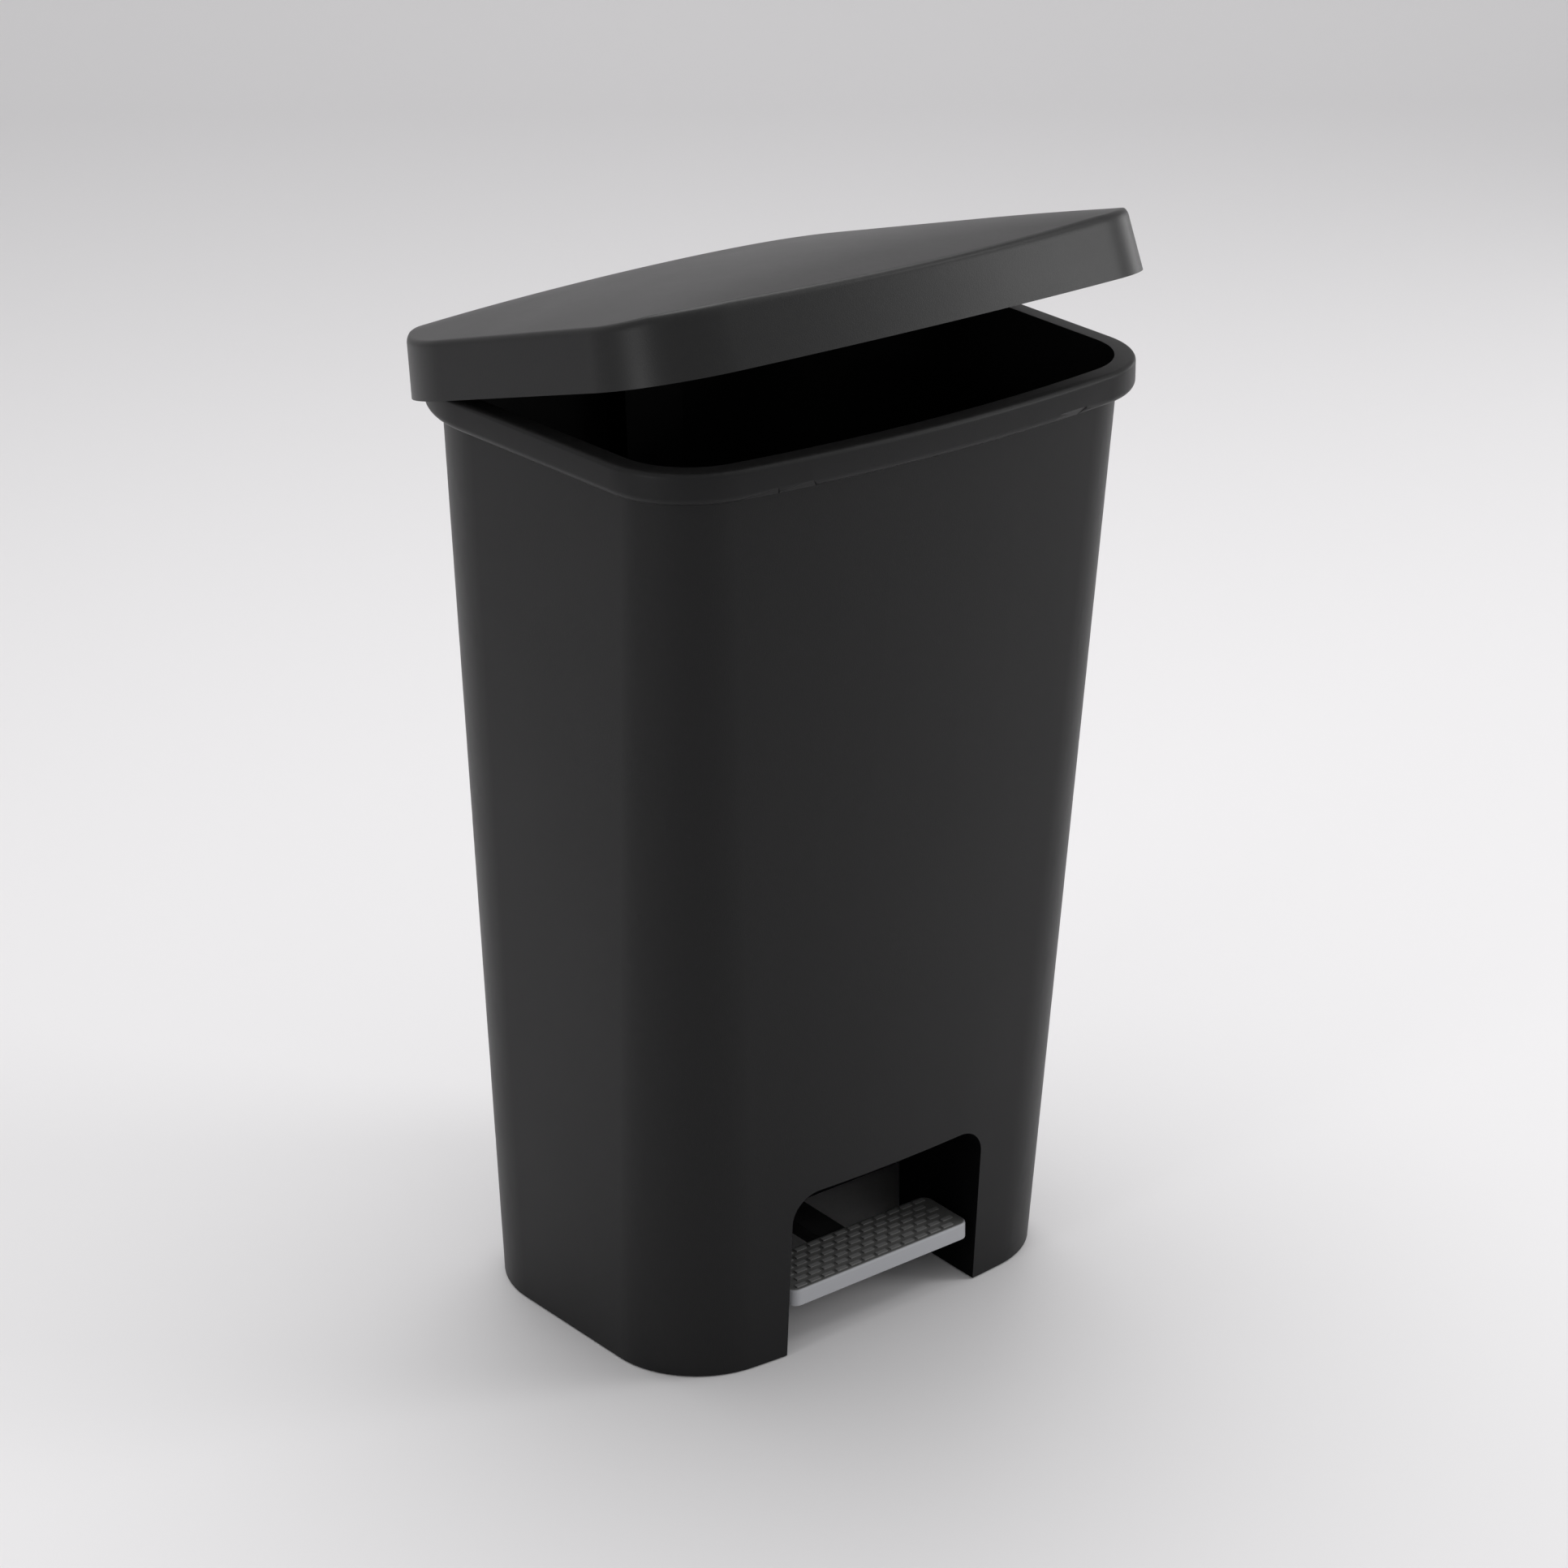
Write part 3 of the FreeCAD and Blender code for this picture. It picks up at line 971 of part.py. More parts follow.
def lever_parts() -> dict:
    """Build the pedal lever, its bush, the tread and the tread screws."""
    rear_half = "arm_rear_width / 2"
    front_half = "arm_front_width / 2"
    hub = rod("hub", "hub_radius", "2 * hub_half", "x", "-hub_half", "0", "pivot_up")
    rear = lever_bar("rear_arm", "0", "rear_reach", "arm_rear_tall / 2", rear_half)
    eye = lever_end("rear_eye", "rear_reach", "slot_rim", rear_half)
    bar_back = "tread_front + tread_depth - 2 * tread_wall"
    front = box("front_arm", f"-{front_half}", front_half, bar_back, "0",
                "pivot_up - arm_front_tall / 2", "pivot_up + arm_front_tall / 2")
    under = "tread_top - tread_wall - gap_run"
    cross = box("cross_bar", "-cross_half", "cross_half", f"{bar_back} - cross_deep", bar_back,
                f"{under} - cross_tall", under)
    link = box("cross_link", f"-{front_half}", front_half, f"{bar_back} - cross_deep",
               f"{bar_back} + tread_wall", "pivot_up - gap_side", under)
    slot = lever_bar("rear_slot", "rear_reach - gap_side", "rear_reach + gap_side", "slot_half",
                     f"{rear_half} + gap_fit")
    slot_a = lever_end("rear_slot_a", "rear_reach - gap_side", "slot_half", f"{rear_half} + gap_fit")
    slot_b = lever_end("rear_slot_b", "rear_reach + gap_side", "slot_half", f"{rear_half} + gap_fit")
    bush_out = "pivot_radius + gap_run + bush_wall"
    bore = rod("hub_bore", bush_out, "2 * hub_half + 2 * gap_fit", "x", "-hub_half - gap_fit",
               "0", "pivot_up")
    screw_y = f"{bar_back} - cross_deep / 2"
    holes = []
    bosses = []
    screws = []
    short = "tread_screw_length"
    for side, sx in (("r", "tread_screw_x"), ("l", "-tread_screw_x")):
        holes.append(rod(f"cross_hole_{side}", "small_screw + gap_free", "over", "z", sx, screw_y,
                         f"{under} - cross_tall - gap_fit"))
        head = rod(f"tread_head_{side}", "small_head", "head_tall", "z", sx, screw_y,
                   f"{under} - cross_tall - head_tall")
        shank = rod(f"tread_shank_{side}", "small_screw", short, "z", sx, screw_y,
                    f"{under} - cross_tall")
        screws.append(fuse(f"tread_screw_{side}", head, shank))
        bosses.append(rod(f"tread_hole_{side}", "small_screw + gap_run", short, "z", sx, screw_y,
                          f"{under} - cross_tall"))
    return {
        "pedal_lever": cut("pedal_lever", fuse("lever_blank", hub, rear, eye, front, cross, link),
                           bore, slot, slot_a, slot_b, *holes),
        "lever_bush": cut(
            "lever_bush",
            rod("bush_ring", bush_out, "2 * hub_half + gap_side", "x",
                "-hub_half - gap_side / 2", "0", "pivot_up"),
            rod("bush_bore", "pivot_radius + gap_run", "2 * hub_half + 4 * gap_side", "x",
                "-hub_half - 2 * gap_side", "0", "pivot_up")),
        "pedal_tread": cut("pedal_tread", pedal_tread(), *bosses),
        "tread_screws": group("tread_screws", *screws),
    }


def pedal_tread():
    """Build the grey tread: a shallow cap with staggered rows of raised dashes."""
    body = new_body("tread_cap")
    half = "tread_width / 2"
    front = "tread_front"
    back = "tread_front + tread_depth"
    outline = rectangle(body, "tread_outline", f"-({half})", half, front, back,
                        "tread_top - tread_tall - dash_tall")
    pad = body.newObject("PartDesign::Pad", "tread_pad")
    pad.Profile = outline
    pad.setExpression("Length", sheet_words("tread_tall"))
    top = value("tread_top") - value("dash_tall")
    low = value("tread_top") - value("dash_tall") - value("tread_tall")
    round_edges(body, "tread_corner", lambda b: b.ZMax - b.ZMin > value("tread_tall") - 0.1)
    round_edges(body, "tread_round", lambda b: b.ZMin > top - 0.01)
    hollow = rectangle(body, "tread_hollow", f"-({half} - tread_wall)", f"{half} - tread_wall",
                       f"{front} + tread_wall", f"{back} + over",
                       "tread_top - tread_tall - dash_tall")
    pocket = body.newObject("PartDesign::Pocket", "tread_pocket")
    pocket.Profile = hollow
    pocket.Reversed = True
    pocket.setExpression("Length", sheet_words("tread_tall - tread_wall + dash_tall"))
    across = "(dash_columns - 1) * dash_step_x"
    seeds = []
    for name, side, behind in (("dash", "-", "0"), ("dash_between", "+", "dash_step_y")):
        middle = f"-{across} / 2 {side} dash_step_x / 4"
        start = f"{front} + dash_first + {behind}"
        drawn = rectangle(body, name, f"{middle} - dash_long / 2", f"{middle} + dash_long / 2",
                          start, f"{start} + dash_wide", "tread_top - dash_tall - gap_run")
        dash = body.newObject("PartDesign::Pad", f"{name}_pad")
        dash.Profile = drawn
        dash.setExpression("Length", sheet_words("dash_tall + gap_run"))
        seeds.append(dash)
    many = body.newObject("PartDesign::MultiTransform", "dashes")
    many.Originals = seeds
    rows = body.newObject("PartDesign::LinearPattern", "dash_rows")
    rows.Direction = (plane(body, "Y_Axis"), [""])
    rows.setExpression("Occurrences", sheet_words("dash_rows / 2"))
    rows.setExpression("Length", sheet_words("(dash_rows - 2) * dash_step_y"))
    columns = body.newObject("PartDesign::LinearPattern", "dash_columns")
    columns.Direction = (plane(body, "X_Axis"), [""])
    columns.setExpression("Occurrences", sheet_words("dash_columns"))
    columns.setExpression("Length", sheet_words(across))
    many.Transformations = [rows, columns]
    body.Tip = many
    return body


def rectangle(body, name: str, x0: str, x1: str, y0: str, y1: str, height: str):
    """Draw a constrained rectangle parallel to the floor."""
    sketch = sketch_on(body, name, "XY_Plane", height)
    xa, xb, ya, yb = (number(t) for t in (x0, x1, y0, y1))
    spots = [FreeCAD.Vector(*p, 0) for p in ((xa, ya), (xb, ya), (xb, yb), (xa, yb))]
    sketch.addGeometry([Part.LineSegment(spots[i], spots[(i + 1) % 4]) for i in range(4)], False)
    rule = Sketcher.Constraint
    for i in range(4):
        sketch.addConstraint(rule("Coincident", i, 2, (i + 1) % 4, 1))
    for edge in (0, 2):
        sketch.addConstraint(rule("Horizontal", edge))
        sketch.addConstraint(rule("Vertical", edge + 1))
    for kind, edge, amount, text in (
            ("DistanceX", 0, xa, x0), ("DistanceY", 0, ya, y0),
            ("DistanceX", 2, xb, x1), ("DistanceY", 2, yb, y1)):
        index = sketch.addConstraint(rule(kind, -1, 1, edge, 1, amount))
        sketch.setExpression(f"Constraints[{index}]", sheet_words(text))
    return sketch


def check(parts: dict) -> None:
    """Stop if any object failed or any part is not a sound solid."""
    DOC.recompute()
    for obj in DOC.Objects:
        if "Invalid" in obj.State or "Error" in obj.State:
            raise RuntimeError(f"{obj.Name} did not build: {obj.State}")
        if hasattr(obj, "Shape") and not obj.Shape.isNull() and not obj.Shape.isValid():
            raise RuntimeError(f"{obj.Name} has a faulty shape")
    for name, obj in parts.items():
        shape = obj.Shape
        if not shape.isValid() or not shape.Solids:
            raise RuntimeError(f"{name} is not a sound solid")
        print(f"{name}: {len(shape.Solids)} solid(s), {shape.Volume / 1000:.2f} cm3")


def main() -> None:
    """Build every part and write one STEP file for each."""
    fill_sheet()
    built = {**fixed_parts(), **lid_parts(), **rod_parts(), **lever_parts()}
    parts = {name: bind(group(f"{name}_placed", obj), y="frame_shift")
             for name, obj in built.items()}
    for name, obj in parts.items():
        obj.Label = name
    check(parts)
    os.makedirs("parts", exist_ok=True)
    for name, obj in parts.items():
        obj.Shape.exportStep(f"parts/{name}.step")


main()
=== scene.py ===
"""Looks of a pedal trash can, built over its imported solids."""

import logging
import math
from dataclasses import dataclass, field
from enum import Enum

import bmesh
import bpy
import numpy as np
from mathutils import Matrix


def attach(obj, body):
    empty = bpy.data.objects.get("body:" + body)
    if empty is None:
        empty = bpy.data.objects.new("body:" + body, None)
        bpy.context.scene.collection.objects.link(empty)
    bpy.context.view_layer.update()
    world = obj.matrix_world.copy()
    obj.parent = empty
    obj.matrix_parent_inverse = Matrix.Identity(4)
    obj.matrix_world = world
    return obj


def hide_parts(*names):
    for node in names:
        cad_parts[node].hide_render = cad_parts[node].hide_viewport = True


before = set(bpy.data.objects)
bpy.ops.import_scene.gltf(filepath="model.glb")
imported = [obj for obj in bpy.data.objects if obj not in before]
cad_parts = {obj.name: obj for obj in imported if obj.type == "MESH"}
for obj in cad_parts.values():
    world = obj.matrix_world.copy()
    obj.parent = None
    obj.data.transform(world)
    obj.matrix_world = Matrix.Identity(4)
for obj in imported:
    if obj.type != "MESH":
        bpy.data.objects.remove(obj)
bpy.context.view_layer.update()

logging.basicConfig(level=logging.INFO, format="%(levelname)s %(message)s")
LOG = logging.getLogger("trash_can")

Colour = tuple[float, float, float]
Point = tuple[float, float, float]


class Body(str, Enum):
    """The moving bodies a piece can ride on."""

    BIN = "bin"
    LID = "lid"
    ROD = "rod"
    PEDAL = "pedal"


class Surface(str, Enum):
    """How the surface of a finish is broken up."""

    MOULDED = "moulded"
    RUBBER = "rubber"
    METAL = "metal"


@dataclass(frozen=True)
class Finish:
    """One finish: its colour, gloss and texture.

    Attributes:
        name: material name.
        colour: linear base colour.
        roughness: mean roughness.
        surface: how the surface is broken up.
        grain: size of the texture cells, in cells per metre.
        depth: height of the texture, in metres.
        dust: share of pale dust that settles on level faces.
        specular: specular level.
        shades: the colour is multiplied by a number between these, place by place.
        drift: how much the roughness drifts, place by place.
        dust_colour: linear colour of the dust.
        painted_shade_from: height above which the top face is darkened as painted shade, or 0 for
            none.
        painted_shade: linear colour of that painted shade.
        dash_shade_from: height above which the raised dash tops are painted less dark, or 0 for
            none.
        dash_shade: linear colour of the dash tops, a painted shade lighter than the rest of the
            top.
        shade_fade: height over which each change of colour fades in.
    """

    name: str
    colour: Colour
    roughness: float
    surface: Surface = Surface.MOULDED
    grain: float = 1400.0
    depth: float = 0.00006
    dust: float = 0.05
    specular: float = 0.5
    shades: tuple[float, float] = (0.93, 1.08)
    drift: float = 0.10
    dust_colour: Colour = (0.32, 0.31, 0.30)
    painted_shade_from: float = 0.0
    painted_shade: Colour = (0.105, 0.105, 0.103)
    dash_shade_from: float = 0.0
    dash_shade: Colour = (0.18, 0.18, 0.18)
    shade_fade: float = 0.0004


BLACK_SHELL = Finish("black_polypropylene", (0.0056, 0.0056, 0.0060), 0.44, specular=0.22)
# Painted shade: a darker, duller black laid on the faces inside the pedal recess, standing in for
# the shade in there.
BLACK_RECESS_PAINTED_SHADE = Finish("black_polypropylene_matt", (0.0020, 0.0020, 0.0022), 0.75, dust=0.0,
                      specular=0.04)
BLACK_LID = Finish("black_polypropylene_lid", (0.0052, 0.0052, 0.0056), 0.40, specular=0.33)
BLACK_COVER = Finish("black_cover", (0.0056, 0.0056, 0.0060), 0.50, specular=0.28)
BLACK_NYLON = Finish("black_nylon", (0.010, 0.010, 0.011), 0.58, grain=2200.0)
# The pedal carries painted shade: its top face is darkened above one height, and its dash tops a
# little less, for the shade of the recess over the tread.
GREY_PEDAL = Finish("grey_pedal", (0.36, 0.365, 0.385), 0.45, grain=1800.0,
                    painted_shade_from=0.0438, dash_shade_from=0.04445)
WHITE_ACETAL = Finish("white_acetal", (0.62, 0.62, 0.58), 0.35, depth=0.00001)
RUBBER = Finish("black_rubber", (0.010, 0.010, 0.010), 0.80, Surface.RUBBER, 900.0, 0.0001)
ZINC = Finish("zinc_plate", (0.55, 0.56, 0.57), 0.34, Surface.METAL, 900.0, 0.00001)
WIRE = Finish("drawn_wire", (0.48, 0.49, 0.51), 0.38, Surface.METAL, 700.0, 0.00001)


@dataclass
class NodeGroups:
    """Shader groups shared by the finishes.

    Attributes:
        fine_detail: detail of the fine grain.
        slow_cells: cells per metre of the slow drift.
        slow_detail: detail of the slow drift.
        slow_mix: how strongly the drift's finer layers count.
        dust_cells: cells per metre of the dust.
        dust_detail: detail of the dust.
        dust_slope: upward part of the normal where dust begins and where it is full.
    """

    fine_detail: float = 2.0
    slow_cells: float = 9.0
    slow_detail: float = 5.0
    slow_mix: float = 0.62
    dust_cells: float = 260.0
    dust_detail: float = 4.0
    dust_slope: tuple[float, float] = (0.2, 1.0)

    def __post_init__(self) -> None:
        """Build each group once."""
        self.grain = self._grain()
        self.dust = self._dust()

    @staticmethod
    def _new(name: str, inputs: list[tuple[str, str, float]], outputs: list[tuple[str, str]]
             ) -> tuple[bpy.types.NodeTree, bpy.types.Node, bpy.types.Node]:
        """Start a node group.

        Args:
            name: group name.
            inputs: socket name, socket type and default value.
            outputs: socket name and socket type.

        Returns:
            The group with its input node and output node.
        """
        group = bpy.data.node_groups.new(name, "ShaderNodeTree")
        for label, kind, value in inputs:
            socket = group.interface.new_socket(label, in_out="INPUT", socket_type=kind)
            if kind == "NodeSocketFloat":
                socket.default_value = value
        for label, kind in outputs:
            group.interface.new_socket(label, in_out="OUTPUT", socket_type=kind)
        return group, group.nodes.new("NodeGroupInput"), group.nodes.new("NodeGroupOutput")

    def _grain(self) -> bpy.types.NodeTree:
        """Fine moulded grain: fine noise as a height, and slow noise for gloss and shade.

        Returns:
            The node group.
        """
        group, source, sink = self._new(
            "moulded_grain",
            [("Vector", "NodeSocketVector", 0.0), ("Cells", "NodeSocketFloat", 1400.0),
             ("Roughness", "NodeSocketFloat", 0.5), ("Drift", "NodeSocketFloat", 0.06)],
            [("Height", "NodeSocketFloat"), ("Roughness", "NodeSocketFloat"),
             ("Patch", "NodeSocketFloat")])
        nodes, links = group.nodes, group.links
        fine = nodes.new("ShaderNodeTexNoise")
        fine.inputs["Detail"].default_value = self.fine_detail
        links.new(source.outputs["Vector"], fine.inputs["Vector"])
        links.new(source.outputs["Cells"], fine.inputs["Scale"])
        slow = nodes.new("ShaderNodeTexNoise")
        slow.inputs["Scale"].default_value = self.slow_cells
        slow.inputs["Detail"].default_value = self.slow_detail
        slow.inputs["Roughness"].default_value = self.slow_mix
        links.new(source.outputs["Vector"], slow.inputs["Vector"])
        centre = nodes.new("ShaderNodeMath")
        centre.operation = "SUBTRACT"
        centre.inputs[1].default_value = 0.5
        links.new(slow.outputs["Fac"], centre.inputs[0])
        drift = nodes.new("ShaderNodeMath")
        drift.operation = "MULTIPLY_ADD"
        links.new(centre.outputs[0], drift.inputs[0])
        links.new(source.outputs["Drift"], drift.inputs[1])
        links.new(source.outputs["Roughness"], drift.inputs[2])
        links.new(fine.outputs["Fac"], sink.inputs["Height"])
        links.new(drift.outputs[0], sink.inputs["Roughness"])
        links.new(slow.outputs["Fac"], sink.inputs["Patch"])
        return group

    def _dust(self) -> bpy.types.NodeTree:
        """Dust mask: strongest on faces that look up, broken up by noise.

        Returns:
            The node group.
        """
        group, source, sink = self._new(
            "settled_dust",
            [("Vector", "NodeSocketVector", 0.0), ("Amount", "NodeSocketFloat", 0.05)],
            [("Mask", "NodeSocketFloat")])
        nodes, links = group.nodes, group.links
        face = nodes.new("ShaderNodeNewGeometry")
        split = nodes.new("ShaderNodeSeparateXYZ")
        links.new(face.outputs["Normal"], split.inputs[0])
        level = nodes.new("ShaderNodeMapRange")
        level.inputs["From Min"].default_value = self.dust_slope[0]
        level.inputs["From Max"].default_value = self.dust_slope[1]
        links.new(split.outputs["Z"], level.inputs["Value"])
        noise = nodes.new("ShaderNodeTexNoise")
        noise.inputs["Scale"].default_value = self.dust_cells
        noise.inputs["Detail"].default_value = self.dust_detail
        links.new(source.outputs["Vector"], noise.inputs["Vector"])
        both = nodes.new("ShaderNodeMath")
        both.operation = "MULTIPLY"
        links.new(level.outputs["Result"], both.inputs[0])
        links.new(noise.outputs["Fac"], both.inputs[1])
        out = nodes.new("ShaderNodeMath")
        out.operation = "MULTIPLY"
        links.new(both.outputs[0], out.inputs[0])
        links.new(source.outputs["Amount"], out.inputs[1])
        links.new(out.outputs[0], sink.inputs["Mask"])
        return group


class FinishShop:
    """Makes materials from finishes, each only once."""

    def __init__(self) -> None:
        """Build the shared groups."""
        self.groups = NodeGroups()
        self.made: dict[str, bpy.types.Material] = {}

    def material(self, finish: Finish) -> bpy.types.Material:
        """Return the material of a finish.

        Args:
            finish: the finish to build.

        Returns:
            The material.
        """
        if finish.name not in self.made:
            self.made[finish.name] = self._build(finish)
        return self.made[finish.name]

    def _build(self, finish: Finish) -> bpy.types.Material:
        """Build one material.

        Args:
            finish: the finish to build.

        Returns:
            The material.
        """
        material = bpy.data.materials.new(finish.name)
        material.use_nodes = True
        nodes, links = material.node_tree.nodes, material.node_tree.links
        shader = nodes["Principled BSDF"]
        shader.inputs["Specular IOR Level"].default_value = finish.specular
        shader.inputs["Metallic"].default_value = float(finish.surface is Surface.METAL)
        place = nodes.new("ShaderNodeTexCoord")
        grain = nodes.new("ShaderNodeGroup")
        grain.node_tree = self.groups.grain
        grain.inputs["Cells"].default_value = finish.grain
        grain.inputs["Roughness"].default_value = finish.roughness
        grain.inputs["Drift"].default_value = finish.drift
        links.new(place.outputs["Object"], grain.inputs["Vector"])
        bump = nodes.new("ShaderNodeBump")
        bump.inputs["Distance"].default_value = finish.depth
        bump.inputs["Strength"].default_value = 1.0
        links.new(grain.outputs["Height"], bump.inputs["Height"])
        links.new(bump.outputs["Normal"], shader.inputs["Normal"])
        links.new(grain.outputs["Roughness"], shader.inputs["Roughness"])
        tone = nodes.new("ShaderNodeMix")
        tone.data_type = "RGBA"
        for socket, shade in zip("AB", finish.shades):
            tone.inputs[socket].default_value = (*(c * shade for c in finish.colour), 1.0)
        links.new(grain.outputs["Patch"], tone.inputs["Factor"])
        dust = nodes.new("ShaderNodeGroup")
        dust.node_tree = self.groups.dust
        dust.inputs["Amount"].default_value = finish.dust
        links.new(place.outputs["Object"], dust.inputs["Vector"])
        settled = nodes.new("ShaderNodeMix")
        settled.data_type = "RGBA"
        settled.inputs["B"].default_value = (*finish.dust_colour, 1.0)
        links.new(dust.outputs["Mask"], settled.inputs["Factor"])
        links.new(tone.outputs["Result"], settled.inputs["A"])
        links.new(settled.outputs["Result"], shader.inputs["Base Color"])
        # Painted shade over the tread top.
        if finish.dash_shade_from > 0.0:
            self._paint_tread_shade(shader, finish, settled, place)
        return material

    @staticmethod
    def _paint_tread_shade(shader: bpy.types.Node, finish: Finish, below: bpy.types.Node,
              place: bpy.types.Node) -> None:
        """Darken the top face above one height and, less, the dash tops above a second, both as
        painted shade.

        Args:
            shader: the shader that takes the colour.
            finish: its finish.
            below: node that gives the colour lower down.
            place: node that gives the object coordinates.
        """
        nodes, links = shader.id_data.nodes, shader.id_data.links
        split = nodes.new("ShaderNodeSeparateXYZ")
        links.new(place.outputs["Object"], split.inputs[0])
        colour = below.outputs["Result"]
        # Each pass lays a darker colour above its height: painted shade on the top face, then a
        # lighter painted shade on the dash tops.
        for start, tint in ((finish.painted_shade_from, finish.painted_shade), (finish.dash_shade_from, finish.dash_shade)):
            level = nodes.new("ShaderNodeMapRange")
            level.inputs["From Min"].default_value = start
            level.inputs["From Max"].default_value = start + finish.shade_fade
            links.new(split.outputs["Z"], level.inputs["Value"])
            over = nodes.new("ShaderNodeMix")
            over.data_type = "RGBA"
            over.inputs["B"].default_value = (*tint, 1.0)
            links.new(level.outputs["Result"], over.inputs["Factor"])
            links.new(colour, over.inputs["A"])
            colour = over.outputs["Result"]
        links.new(colour, shader.inputs["Base Color"])


SHOP = FinishShop()


@dataclass
class SoftenedPart:
    """A solid whose sharp moulded edges are broken by a small round.

    Attributes:
        node: the solid this piece stands for.
        body: the body it moves with.
        finish: its finish.
        slot: the record's material slot; not used.
        radius: size of the edge round, in metres.
        matt_painted_shade: lowest and highest corner of a box whose faces get a darker, duller
            black as painted shade.
        merge: corners closer than this are made one, in metres.
        flat: faces that meet within this angle are made one, in degrees.
        crease: edges sharper than this are shown sharp, in degrees.
        corner: edges sharper than this are rounded, in degrees.
        segments: facets of each edge round.
    """

    node: str
    body: Body
    finish: Finish
    slot: str
    radius: float = 0.0003
    matt_painted_shade: tuple[Point, Point] | None = None
    merge: float = 2e-6
    flat: float = 0.4
    crease: float = 28.0
    corner: float = 35.0
    segments: int = 2

    def build(self) -> bpy.types.Object:
        """Copy the solid, merge its triangles and round its edges.

        Returns:
            The finished piece.
        """
        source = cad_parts[self.node]
        mesh = source.data.copy()
        mesh.name = f"{self.node}_visual"
        work = bmesh.new()
        work.from_mesh(mesh)
        bmesh.ops.remove_doubles(work, verts=work.verts, dist=self.merge)
        bmesh.ops.dissolve_limit(work, angle_limit=math.radians(self.flat), verts=work.verts,
                                 edges=work.edges)
        work.to_mesh(mesh)
        work.free()
        for name in [a.name for a in mesh.attributes if "normal" in a.name]:
            mesh.attributes.remove(mesh.attributes[name])
        mesh.polygons.foreach_set("use_smooth", np.ones(len(mesh.polygons), dtype=bool))
        mesh.set_sharp_from_angle(angle=math.radians(self.crease))
        mesh.materials.clear()
        mesh.materials.append(SHOP.material(self.finish))
        # Painted shade on the faces inside the recess.
        if self.matt_painted_shade is not None:
            self._paint_recess_shade(mesh, *self.matt_painted_shade)
        piece = bpy.data.objects.new(f"{self.node}_piece", mesh)
        bpy.context.scene.collection.objects.link(piece)
        bevel = piece.modifiers.new("edge_round", "BEVEL")
        bevel.width = self.radius
        bevel.segments = self.segments
        bevel.limit_method = "ANGLE"
        bevel.angle_limit = math.radians(self.corner)
        bevel.harden_normals = True
        bevel.use_clamp_overlap = True
        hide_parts(self.node)
        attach(piece, self.body.value)
        LOG.info("%s: %d faces", piece.name, len(mesh.polygons))
        return piece


    @staticmethod
    def _paint_recess_shade(mesh: bpy.types.Mesh, low: Point, high: Point) -> None:
        """Give a darker, duller black, painted shade, to every face whose middle lies in a box.

        Args:
            mesh: the mesh to change.
            low: lowest corner of the box.
            high: highest corner of the box.
        """
        mesh.materials.append(SHOP.material(BLACK_RECESS_PAINTED_SHADE))
        middles = np.empty(len(mesh.polygons) * 3)
        mesh.polygons.foreach_get("center", middles)
        middles = middles.reshape(-1, 3)
        inside = np.all((middles > low) & (middles < high), axis=1)
        mesh.polygons.foreach_set("material_index", inside.astype(np.int32))
        LOG.info("%s: %d matt faces", mesh.name, int(inside.sum()))


@dataclass(frozen=True)
class Plan:
    """Rounded plan with a bowed front, at rim height, in metres.

    Attributes:
        back_width: width across the back.
        front_width: width across the front.
        back: y of the back.
        front: y of the middle of the front.
        back_radius: radius of the back corners.
        front_radius: radius of the front corners.
        bow_radius: radius of the bowed front.
        steps: points on half the back, a back corner, a side, a front corner and half the front.
    """

    back_width: float = 0.357589
    front_width: float = 0.348411
    back: float = 0.131
    front: float = -0.161
    back_radius: float = 0.091
    front_radius: float = 0.0485
    bow_radius: float = 0.930815
    steps: tuple[int, int, int, int, int] = (16, 36, 30, 30, 36)

    def ring(self, out: float, reach: float) -> np.ndarray:
        """Walk once round the plan, anticlockwise from the middle of the back.

        The left half is a line, an arc for the back corner, a line for the side, an
        arc for the front corner and a wide arc for the front, each tangent to the
        next; the right half is its mirror image.

        Args:
            out: how far outside the plan to walk.
            reach: how much further out the front lies.

        Returns:
            Points as an array of n by 2.
        """
        wide_b, wide_f = self.back_width / 2 + out, self.front_width / 2 + out
        back, front = self.back + out, self.front - out - reach
        r_b, r_f, bow = (r + out for r in (self.back_radius, self.front_radius, self.bow_radius))
        x_b, x_f = wide_b - r_b, wide_f - r_f
        y_f = front + bow - math.sqrt((bow - r_f) ** 2 - x_f ** 2)
        swing = math.degrees(math.asin(x_f / (bow - r_f)))

        def line(start: tuple[float, float], end: tuple[float, float], count: int) -> np.ndarray:
            """Points from a start to an end, without the end."""
            return np.linspace(start, end, count, endpoint=False)

        def arc(centre: tuple[float, float], radius: float, start: float, end: float,
                count: int) -> np.ndarray:
            """Points round a centre between two angles in degrees, without the last."""
            angle = np.radians(np.linspace(start, end, count, endpoint=False))
            return np.stack([centre[0] + radius * np.cos(angle),
                             centre[1] + radius * np.sin(angle)], axis=1)

        half = np.concatenate([
            line((0.0, back), (-x_b, back), self.steps[0]),
            arc((-x_b, back - r_b), r_b, 90.0, 180.0, self.steps[1]),
            line((-wide_b, back - r_b), (-wide_f, y_f), self.steps[2]),
            arc((-x_f, y_f), r_f, 180.0, 270.0 - swing, self.steps[3]),
            arc((0.0, front + bow), bow, 270.0 - swing, 270.0, self.steps[4]),
        ])
        tip = np.array([[0.0, front]])
        return np.concatenate([half, tip, (half * [-1.0, 1.0])[:0:-1]])


